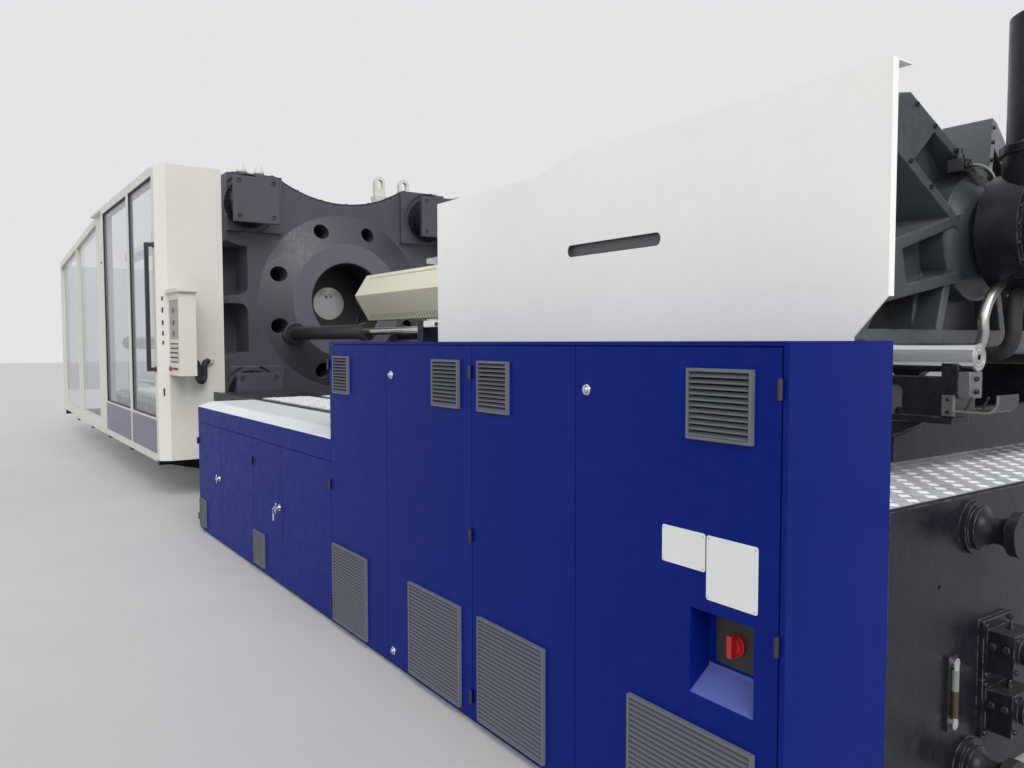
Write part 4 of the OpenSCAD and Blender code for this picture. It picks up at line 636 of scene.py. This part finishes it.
def module(body, front, x, z, kind):
    """One device on its rail: a body with a narrower stepped front."""
    wide, high, deep, narrow, _ = MODULES[kind]
    y = BAY_BACK_Y - 14
    body.box((x, y - deep * 0.62, z - high / 2), (x + wide, y, z + high / 2))
    inset = (wide - narrow) / 2
    front.box((x + inset, y - deep, z - high * 0.3), (x + wide - inset, y - deep * 0.62 + 1, z + high * 0.3))


def cabinet_gear():
    """Mounting plates in the cabinets with trunking and rows of devices on rails."""
    plates, trunks, bodies, fronts = Work(), Work(), Work(), Work()
    for x0, x1, z0, z1, rows in BAYS:
        left, right = x0 + 50, x1 - 50
        plates.box((left, BAY_BACK_Y - 6, z0), (right, BAY_BACK_Y + 0.5, z1))
        heights = [MODULES[kind][1] + 2 * TRUNK + 2 * ROW_SPACE for kind in rows]
        spare = (z1 - z0 - TRUNK - 2 * ROW_SPACE - sum(heights) + TRUNK * len(rows)) / len(rows)
        z = z1 - ROW_SPACE - TRUNK
        cable_trunk(trunks, left + TRUNK_INSET, right - TRUNK_INSET, z)
        for kind in rows:
            wide, high, _, _, gap = MODULES[kind]
            middle = z - ROW_SPACE - spare / 2 - high / 2
            plates.box((left + RAIL_INSET, BAY_BACK_Y - 14.5, middle - 17),
                       (right - RAIL_INSET, BAY_BACK_Y - 5.5, middle + 17))
            filled = 0.93 if kind == "drives" else 0.8
            count = int((right - left - 2 * DEVICE_INSET) / (wide + gap) * filled)
            pair = (fronts, bodies) if kind in ("breakers", "terminals") else (bodies, fronts)
            for i in range(count):
                empty = kind != "drives" and i % 11 == 7
                if not empty:
                    module(*pair, left + DEVICE_INSET + i * (wide + gap), middle, kind)
            z -= high + 2 * ROW_SPACE + spare + (TRUNK if kind != rows[-1] else 0)
            cable_trunk(trunks, left + TRUNK_INSET, right - TRUNK_INSET, max(z, z0 + 15))
    plates.done("cabinet_plates", "machine", "foot_steel", zinc)
    trunks.done("cabinet_trunking", "machine", "guard_cream", trunk_grey)
    bodies.done("cabinet_devices", "machine", "handle_black", device_grey)
    fronts.done("cabinet_device_fronts", "machine", "handle_black", black_plastic)


quarter_turn_locks()
wing_locks()
blank_plates()
cabinet_gear()


# Guard
DOOR_X0, DOOR_X1, MULLION_X = -3278, 146, -1360.6
WINDOWS = ((DOOR_X0 + 110, MULLION_X - 60), (MULLION_X + 60, DOOR_X1 - 110))
WINDOW_Z = (890, 3489.7)
# Rubber strips on the outer and inner side of a door's pane
PANE_RUBBER = ((2172.2, 2190), (2146, 2163.8))
# Slots down the post: height of the middle and length
POST_SLOTS = ((2177, 46), (2054, 58), (1919, 52), (1807, 50), (1706, 44), (1177, 84))


def frame_strip(work, x0, x1, z0, z1, width, y0, y1):
    """Four strips round an opening, mitred into one closed frame."""
    outer = [(x0, z0), (x1, z0), (x1, z1), (x0, z1)]
    w = width
    inner = [(x0 + w, z0 + w), (x1 - w, z0 + w), (x1 - w, z1 - w), (x0 + w, z1 - w)]
    mesh = work.mesh
    rings = []
    for ring, y in ((outer, y0), (outer, y1), (inner, y1), (inner, y0)):
        rings.append([mesh.verts.new(spot(x, y, z)) for x, z in ring])
    for ring, after in zip(rings, rings[1:] + rings[:1]):
        for i in range(4):
            j = (i + 1) % 4
            mesh.faces.new((ring[i], ring[j], after[j], after[i]))


def door_trim(side, body):
    """Rubber round the panes, a darker lower panel, edge seals and the latch of a guard door."""
    seals, panel, latch = Work(), Work(), Work()
    for x0, x1 in WINDOWS:
        for y0, y1 in PANE_RUBBER:
            frame_strip(seals, x0 + 0.3, x1 - 0.3, WINDOW_Z[0] + 0.3, WINDOW_Z[1] - 0.3, 11,
                        side * y0, side * y1)
        panel.box((x0 - 12, side * 2197, 500), (x1 + 12, side * 2200.5, 868))
    seals.box((DOOR_X0 - 9, side * 2140, 470), (DOOR_X0 + 0.5, side * 2196, 3530))
    latch.box((DOOR_X0 - 30, side * 2146, 2732), (DOOR_X0 - 8, side * 2192, 2912))
    latch.turned((DOOR_X0 - 19, side * 2192, 2830), (0, side, 0), [(0, 13), (14, 13), (18, 8)], 20)
    seals.done(f"{body}_seals", body, "handle_black", rubber, 1.5)
    panel.done(f"{body}_lower_panel", body, "guard_cream", panel_grey, 1.0)
    latch.done(f"{body}_latch", body, "handle_black", black_plastic, 3.0)


def post_slot_shade():
    """Slots with round ends down the post's chamfer, shown as black pieces standing proud that stand in as
    painted shade for their openings.
    """
    work = Work()
    radius = 9
    out = Vector((107, -74, 0)).normalized()
    side = Vector((74, 107, 0)).normalized()
    for z, length in POST_SLOTS:
        centre = Vector((193, -2143, z))
        rings = []
        for depth in (-1, 4):
            ring = []
            for i in range(16):
                a = 2 * math.pi * i / 16
                lift = (length / 2 - radius) * (1 if math.sin(a) >= 0 else -1)
                point = centre + out * depth + side * radius * math.cos(a)
                ring.append((point.x, point.y, z + lift + radius * math.sin(a)))
            rings.append(ring)
        work.loft(rings)
    work.done("post_slot_shadows", "machine", "handle_black", black_plastic, 1.0)


for side, body in ((-1, "front_door"), (1, "rear_door")):
    door_trim(side, body)
post_slot_shade()


# Fixed platen
PLATEN_TOP, DIP_HALF, DIP_DEPTH = AXIS + 1420, 820, 244
# Cables on the platen: place along X, radius, and the ends across the machine
CABLES = ((-22, 13, -1330, 1330), (-50, 10, -1330, 700), (-72, 7, -640, 1330))
CLIPS_Y = (-1150, -860, -560, -260, 60, 360, 600, 860, 1250)


def top_edge(y):
    """Height of the platen's top edge in its dip, or at its flat corners."""
    if abs(y) >= DIP_HALF:
        return PLATEN_TOP
    dip_r = (DIP_HALF ** 2 + DIP_DEPTH ** 2) / (2 * DIP_DEPTH)
    return PLATEN_TOP - DIP_DEPTH + dip_r - math.sqrt(dip_r ** 2 - y ** 2)


def platen_wiring():
    """Sheathed cables laid along the platen's top edge, held by clips."""
    cables, clips = Work(), Work()
    for x, radius, low, high in CABLES:
        path = [(x, y, top_edge(y) + radius * 0.94) for y in range(low, high + 1, 35)]
        cables.sweep(path, radius, 10)
    for y in CLIPS_Y:
        z = top_edge(y)
        clips.box((-84, y - 14, z - 3), (-5, y + 14, z + 5))
        clips.box((-36, y - 14, z), (-9, y + 14, z + 30))
    cables.done("platen_cables", "machine", "conduit_rubber", rubber)
    clips.done("platen_clips", "machine", "foot_steel", dark_steel, 2.0)


def cover_screws():
    """Socket screws sunk in the corners of the square covers over the clamp cylinders."""
    work = Work()
    for sy in (-1, 1):
        for z in CLAMP_CYLINDER_Z:
            for dy in (-190, 190):
                for dz in (-190, 190):
                    at = (347, sy * CLAMP_CYLINDER_Y + dy, z + dz)
                    work.turned(at, (1, 0, 0), [(0, 17.5), (16, 17.5), (18, 15), (18, 10), (8, 9.5)], 20)
    work.done("cover_screws", "machine", "foot_steel", dark_steel)


platen_wiring()
cover_screws()


# Screws and plugs
def screw_ring(work, centre, axis, radius, count, size, phase=0.0):
    """Socket screws on a circle round an axis."""
    along = Vector(axis).normalized()
    side = along.orthogonal().normalized()
    up = along.cross(side)
    for i in range(count):
        a = phase + 2 * math.pi * i / count
        at = Vector(centre) + radius * (math.cos(a) * side + math.sin(a) * up)
        work.screw_head(at, along, size)


def machine_screws():
    """Screws of the clamp cylinders' flanges, the carriage cylinders and the port blocks."""
    work = Work()
    for s in (-1, 1):
        for z in CLAMP_CYLINDER_Z:
            screw_ring(work, (59.5, s * CLAMP_CYLINDER_Y, z), (1, 0, 0), 255, 12, 14, 0.13)
        screw_ring(work, (209.5, s * CARRIAGE_CYLINDER_Y, CARRIAGE_CYLINDER_Z), (1, 0, 0), 98, 8, 11, 0.2)
        screw_ring(work, (2154.5, s * CARRIAGE_CYLINDER_Y, CARRIAGE_CYLINDER_Z), (1, 0, 0), 66, 8, 8)
        y = s * PORT_BLOCK_Y
        for z in PORT_BLOCK_Z:
            for dy in (-88, 88):
                for dz in (-88, 88):
                    work.screw_head((8121.5, y + dy, z + dz), (1, 0, 0), 11)
            for dy in (-60, 60):
                for dz in (-60, 52):
                    work.screw_head((8211.5, y + dy, z + dz), (1, 0, 0), 9)
    work.done("machine_screws", "machine", "foot_steel", dark_steel)


def port_plugs():
    """Hexagon plugs and a bleed fitting in the port blocks on the bed's end."""
    work = Work()
    bleed = [(0, 13), (8, 13), (10, 8), (22, 7), (24, 9), (30, 6)]
    for y in (-PORT_BLOCK_Y, PORT_BLOCK_Y):
        for z in PORT_BLOCK_Z:
            work.turned((8231.5, y, z), (1, 0, 0), [(0, 27), (13, 27), (15, 23), (15, 10), (11, 9)], 6)
            for at in (8142, 8188):
                work.turned((at, y - 79.5, z + 18), (0, -1, 0), [(0, 15), (9, 15), (11, 12)], 6)
            work.turned((8165, y, z + 69.5), (0, 0, 1), bleed, 6)
    work.done("port_plugs", "machine", "foot_steel", dark_steel, 0.8)


# Tread plates
TREAD_PITCH = 1423.75
# Fields of bars from low X to high X and from low Y to high Y
TREAD_FIELDS = [(7400, 8068, -1652, 1652)] + [
    (1704 + i * TREAD_PITCH, 3116 + i * TREAD_PITCH, low, high)
    for i in range(4) for low, high in ((1118, 1574), (842, 979), (-1574, -1118), (-979, -842))
]


def tread_bars():
    """Raised bars of the tread plates, five to a group and each group across its neighbours."""
    points, faces = [], []
    cell, long, wide, step = 60.0, 38.0, 5.6, 9.6
    for x0, x1, y0, y1 in TREAD_FIELDS:
        across, deep = max(1, int((x1 - x0) / cell)), max(1, int((y1 - y0) / cell))
        for ix in range(across):
            for iy in range(deep):
                cx = x0 + (ix + 0.5) * (x1 - x0) / across
                cy = y0 + (iy + 0.5) * (y1 - y0) / deep
                a = math.radians(45 if (ix + iy) % 2 else -45)
                ux, uy = math.cos(a), math.sin(a)
                for k in range(-2, 3):
                    mx, my = cx - uy * k * step, cy + ux * k * step
                    first = len(points)
                    for along, side in ((-1, -1), (1, -1), (1, 1), (-1, 1)):
                        px = mx + ux * along * long / 2 - uy * side * wide / 2
                        py = my + uy * along * long / 2 + ux * side * wide / 2
                        points.append(tuple(spot(px, py, TREAD_FLAT)))
                    for reach in (-0.4 * long, 0.4 * long):
                        points.append(tuple(spot(mx + ux * reach, my + uy * reach, TREAD_RAISED)))
                    a0, b0, c0, d0, e0, f0 = range(first, first + 6)
                    faces += [(a0, b0, f0, e0), (c0, d0, e0, f0), (b0, c0, f0), (d0, a0, e0),
                              (d0, c0, b0, a0)]
    mesh = bpy.data.meshes.new("tread_bars")
    mesh.from_pydata(points, [], faces)
    mesh.materials.append(tread.material)
    made = bpy.data.objects.new("tread_bars", mesh)
    bpy.context.collection.objects.link(made)
    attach(made, "machine")


# Injection unit
def tray_side(radius):
    """One side of the end trays' section: up the plate, along the floor and round the open end."""
    turn_x, turn_z = 8110, 1496
    low = turn_z - radius
    side = [(7998 + 42 - radius, 1512), (7998 + 42 - radius, low)]
    side += [(turn_x + radius * math.sin(a), turn_z - radius * math.cos(a))
             for a in (math.radians(i * 15) for i in range(7))]
    return side + [(turn_x + radius, 1520)]


def carriage_ends():
    """Plates under the guide bars' ends, sheet trays beside them and covers in the side beams."""
    plates, trays, rims, screws, covers = Work(), Work(), Work(), Work(), Work()
    for s in (-1, 1):
        y0, y1 = sorted((s * 1003, s * 1093))
        plates.box((8004.3, y0, 1502), (8046, y1, 1598))
        plates.box((7950, min(s * 1093.3, s * 1101), 1434), (7997, max(s * 1093.3, s * 1101), 1512))
        for z in (1526, 1572):
            screws.screw_head((8045.5, s * GUIDE_BAR_Y, z), (1, 0, 0), 9)
        for z in (1450, 1496):
            screws.screw_head((7973, s * 1100.5, z), (0, s, 0), 7)
        tray_section = tray_side(42) + list(reversed(tray_side(39)))
        trays.loft([[(x, y, z) for x, z in tray_section] for y in (s * 960, s * 1110)])
        rim_section = tray_side(43) + list(reversed(tray_side(36)))
        rims.loft([[(x, y, z) for x, z in rim_section] for y in (s * 1110, s * 1114)])
        for x in (8036, 8092):
            trays.bar((x, s * 1106, 1456), (x + 26, s * 1106, 1512), 4, 10)
        rounded_plate(covers, (7564, 7794), (1395, 1539), 22, (s * 1060, s * 1066))
        for x in (7770, 7590):
            screws.turned((x, s * 1066, 1440), (0, s, 0), [(0, 16), (4, 16), (5, 12), (5, 9), (2, 8)], 20)
    for s in (-1, 1):
        screw_ring(screws, (6239.5, s * UPPER_ROD_Y, UPPER_ROD_Z), (1, 0, 0), 132, 10, 10)
        screw_ring(screws, (6239.5, s * LOWER_ROD_Y, LOWER_ROD_Z), (1, 0, 0), 132, 10, 10)
    plates.done("bar_end_plates", "carriage", "bed_black", machined, 2.0)
    trays.done("end_trays", "carriage", "cylinder_black", black_paint)
    rims.done("end_tray_rims", "carriage", "foot_steel", zinc)
    screws.done("carriage_screws", "carriage", "foot_steel", dark_steel)
    covers.done("beam_covers", "carriage", "bed_black", machined, 1.0)


def bar_end_rings():
    """Turned rings on the end faces of the guide bars."""
    work = Work()
    for s in (-1, 1):
        for r0, r1 in ((49, 43), (39, 31), (26, 13)):
            ring = [(-0.5, r0), (1.2, r0 - 1), (1.2, r1 + 1), (-0.5, r1)]
            work.turned((GUIDE_BAR_END, s * GUIDE_BAR_Y, GUIDE_BAR_Z), (1, 0, 0), ring, 40, capped=False)
    work.done("bar_end_rings", "carriage", "chromed_bar", zinc)


def terminal_box():
    """White terminal box behind the carriage's front plate, with its gland and conduit."""
    box, gland = Work(), Work()
    box.box((3392.5, -748, 1832), (3560, -692, 1886))
    for x in (3402, 3550):
        for z in (1840, 1878):
            gland.turned((x, -747.8, z), (0, -1, 0), [(0, 4), (2, 4), (2.5, 2.5)], 12)
    gland.turned((3560, -720, 1859), (1, 0, 0), [(0, 15), (12, 15), (14, 12), (24, 11), (26, 8)], 6)
    gland.pipe([(3582, -720, 1859), (3640, -720, 1859), (3700, -760, 1640), (3700, -1012, 1556)], 8, 50)
    box.done("terminal_box", "carriage", "guard_cream", plate_white, 3.0)
    gland.done("terminal_gland", "carriage", "handle_black", black_plastic)


def rear_face(r):
    """Height of the upper arms' sloping rear face at a distance from the screw's axis."""
    return 7550 - (r - 260) * 0.2946


def yoke_dress():
    """Screws of the gearbox and motor, wipers on the bushings and screws on the arms' ribs."""
    screws, rings = Work(), Work()
    screw_ring(screws, (7828.5, 0, AXIS), (1, 0, 0), 258, 20, 10, 0.1)
    screw_ring(screws, (7870, 0, 2575.5), (0, 0, 1), 214, 12, 8)
    for s in (-1, 1):
        for x, way in ((7589.5, 1), (7090.5, -1)):
            ring = [(0, 68), (8, 68), (10, 65), (10, 54), (0, 52)]
            rings.turned((x, s * GUIDE_BAR_Y, GUIDE_BAR_Z), (way, 0, 0), ring, 40, capped=False)
        a = math.atan2(UPPER_ROD_Y, UPPER_ROD_Z - AXIS)
        out, across = Vector((0, s * math.sin(a), math.cos(a))), Vector((0, s * math.cos(a), -math.sin(a)))
        normal = (Vector((0.959, 0, 0)) + out * 0.2826).normalized()
        for r in (410, 560, 690):
            for side in (-1, 1):
                at = Vector((rear_face(r) - 1, 0, AXIS)) + out * r + across * side * (146 - r * 0.016)
                screws.screw_head(at, normal, 11)
    screws.done("yoke_screws", "yoke", "foot_steel", dark_steel)
    rings.done("bushing_wipers", "yoke", "handle_black", black_plastic)


def yoke_hydraulics():
    """Valve on the upper arm with its steel pipe, and a steel pipe and a hose below the gearbox."""
    valve, pipe, hose = Work(), Work(), Work()
    spindle = [(0, 22), (20, 22), (24, 18), (24, 13), (52, 13), (56, 9)]
    valve.box((7500, -232, 2488), (7572, -150, 2548))
    valve.turned((7536, -191, 2548), (0, 0, 1), spindle, 20)
    valve.turned((7572, -205, 2518), (1, 0, 0), [(0, 17), (9, 17), (11, 14)], 6)
    valve.turned((7572, -172, 2518), (1, 0, 0), [(0, 12), (7, 12), (9, 9), (14, 8)], 6)
    valve.turned((7540, -150, 2522), (0, 1, 0), [(0, 19), (12, 19), (14, 15), (22, 14)], 6)
    curve = [(7540, -128, 2522), (7552, -70, 2532), (7560, -10, 2530), (7562, 48, 2512), (7556, 96, 2488),
             (7546, 128, 2462)]
    pipe.sweep(smooth_path(curve, 5), 11, 14)
    pipe.turned((7546, 128, 2462), (-0.2, 0.72, -0.66), [(-14, 19), (0, 19), (16, 17), (30, 15)], 6)
    for start, y, radius, run in (((7715, -150, 1968), -303, 24, pipe), ((7760, -40, 1950), -122, 34, hose)):
        x = start[0]
        bend = [start, (x, y * 0.8, 1905), (x, y, 1815), (x, y, 1730), (x - 25, y, 1672), (x - 75, y, 1650),
                (7585, y, 1650)]
        run.sweep(smooth_path(bend, 6), radius, 16)
        nut = [(0, radius + 3), (4, radius + 9), (40, radius + 9), (44, radius + 14), (52, radius + 14)]
        hose.turned((7638, y, 1650), (-1, 0, 0), nut, 6)
    valve.done("yoke_valve", "yoke", "foot_steel", dark_steel, 3.0)
    pipe.done("yoke_pipes", "yoke", "chromed_bar", zinc)
    hose.done("yoke_hoses", "yoke", "conduit_rubber", rubber)


def smooth_path(points, steps):
    """Points on a smooth curve through the given ones."""
    points = [Vector(p) for p in points]
    padded = [points[0] * 2 - points[1]] + points + [points[-1] * 2 - points[-2]]
    path = []
    for a, b, c, d in zip(padded, padded[1:], padded[2:], padded[3:]):
        for i in range(steps):
            t = i / steps
            path.append(0.5 * (2 * b + (c - a) * t + (2 * a - 5 * b + 4 * c - d) * t * t
                               + (3 * b - a - 3 * c + d) * t ** 3))
    return path + [points[-1]]


def motor_dress():
    """Terminal box of the upright motor with its lid screws and two glands below."""
    box, gland = Work(), Work()
    box.box((7958, -70, 2660), (8108, 70, 2830))
    box.box((7950, -78, 2822), (8114, 78, 2834))
    for y in (-30, 30):
        gland.turned((8030, y, 2660), (0, 0, -1), [(0, 17), (14, 17), (16, 13), (26, 12)], 6)
    for y in (-60, 60):
        for x in (7966, 8098):
            gland.screw_head((x, y, 2833.5), (0, 0, 1), 6)
    box.done("motor_terminal_box", "yoke", "cylinder_black", black_paint, 3.0)
    gland.done("motor_glands", "yoke", "foot_steel", dark_steel)


def panel_dress():
    """Dark membrane between the operator panel's keys, with a row of indicator lamps."""
    membrane, lamps = Work(), Work()
    left, low, pitch = 228, 1361, 44
    dome = [(0, 13), (6, 13), (12, 10), (15, 5)]
    rounded_plate(membrane, (left + 56, left + 400), (low + 136, low + 340), 10, (-2090.8, -2092.4))
    for i in range(5):
        lamps.turned((left + 190 + i * pitch, -2091.2, low + 72), (0, -1, 0), dome, 20)
    membrane.done("key_membrane", "machine", "handle_black", black_plastic)
    lamps.done("panel_lamps", "machine", "screen", screen)


machine_screws()
port_plugs()
tread_bars()
carriage_ends()
bar_end_rings()
terminal_box()
yoke_dress()
yoke_hydraulics()
motor_dress()
panel_dress()


# Floor, light and camera
def floor():
    """Plain pale floor under the machine."""
    mesh = bpy.data.meshes.new("floor")
    half = 70.0
    corners = [(-half, -half, 0), (half, -half, 0), (half, half, 0), (-half, half, 0)]
    mesh.from_pydata(corners, [], [(0, 1, 2, 3)])
    made = bpy.data.objects.new("floor", mesh)
    bpy.context.collection.objects.link(made)
    finish = Finish("floor_grey", linear(196, 196, 194), 0.75)
    cloud = finish.noise(0.7, 5.0, 0.6)
    finish.put("Base Color", finish.blend(linear(188, 188, 187), linear(202, 202, 200), cloud))
    mesh.materials.append(finish.material)


def sky():
    """Soft even light on the object, and a pale backdrop for the camera, gloss and glass."""
    world = bpy.data.worlds.new("studio")
    bpy.context.scene.world = world
    world.use_nodes = True
    tree = world.node_tree
    light, seen = tree.nodes["Background"], tree.nodes.new("ShaderNodeBackground")
    light.inputs["Color"].default_value = (0.93, 0.96, 1.0, 1)
    light.inputs["Strength"].default_value = 0.62
    seen.inputs["Color"].default_value = linear(226, 228, 230)
    seen.inputs["Strength"].default_value = 1.0
    ray = tree.nodes.new("ShaderNodeLightPath")
    mix = tree.nodes.new("ShaderNodeMixShader")
    share = ray.outputs["Is Camera Ray"]
    for kind in ("Is Glossy Ray", "Is Transmission Ray"):
        either = tree.nodes.new("ShaderNodeMath")
        either.operation = "MAXIMUM"
        tree.links.new(share, either.inputs[0])
        tree.links.new(ray.outputs[kind], either.inputs[1])
        share = either.outputs[0]
    tree.links.new(share, mix.inputs[0])
    tree.links.new(light.outputs[0], mix.inputs[1])
    tree.links.new(seen.outputs[0], mix.inputs[2])
    tree.links.new(mix.outputs[0], tree.nodes["World Output"].inputs["Surface"])


def lamp(name, strength, spread, towards):
    """Wide soft lamp that shines in one direction, with its spread in degrees."""
    data = bpy.data.lights.new(name, "SUN")
    data.energy, data.angle = strength, math.radians(spread)
    made = bpy.data.objects.new(name, data)
    made.rotation_mode = "QUATERNION"
    made.rotation_quaternion = Vector(towards).to_track_quat("-Z", "Y")
    bpy.context.collection.objects.link(made)


# Camera of the photograph: place in metres, and its turn, tilt down and roll in degrees
CAMERA_PLACE, CAMERA_LENS = (9.714, -4.098, 1.710), 28.77
CAMERA_TURN, CAMERA_TILT, CAMERA_ROLL = 55.077, 2.9685, 0.118


def camera():
    """Camera at the photograph's place and angle, solved from the cabinets and the platen."""
    data = bpy.data.cameras.new("photo_camera")
    data.sensor_width, data.lens = 36.0, CAMERA_LENS
    data.clip_start, data.clip_end = 0.05, 300.0
    made = bpy.data.objects.new("photo_camera", data)
    made.location = CAMERA_PLACE
    made.rotation_euler = [math.radians(a) for a in (90 - CAMERA_TILT, CAMERA_ROLL, CAMERA_TURN)]
    bpy.context.collection.objects.link(made)
    bpy.context.scene.camera = made


floor()
sky()
lamp("key_lamp", 1.9, 40, (-0.85, 0.2, -0.7))
lamp("fill_lamp", 0.7, 60, (-0.3, 0.85, -0.35))
camera()
bpy.context.scene.view_settings.view_transform = "Standard"
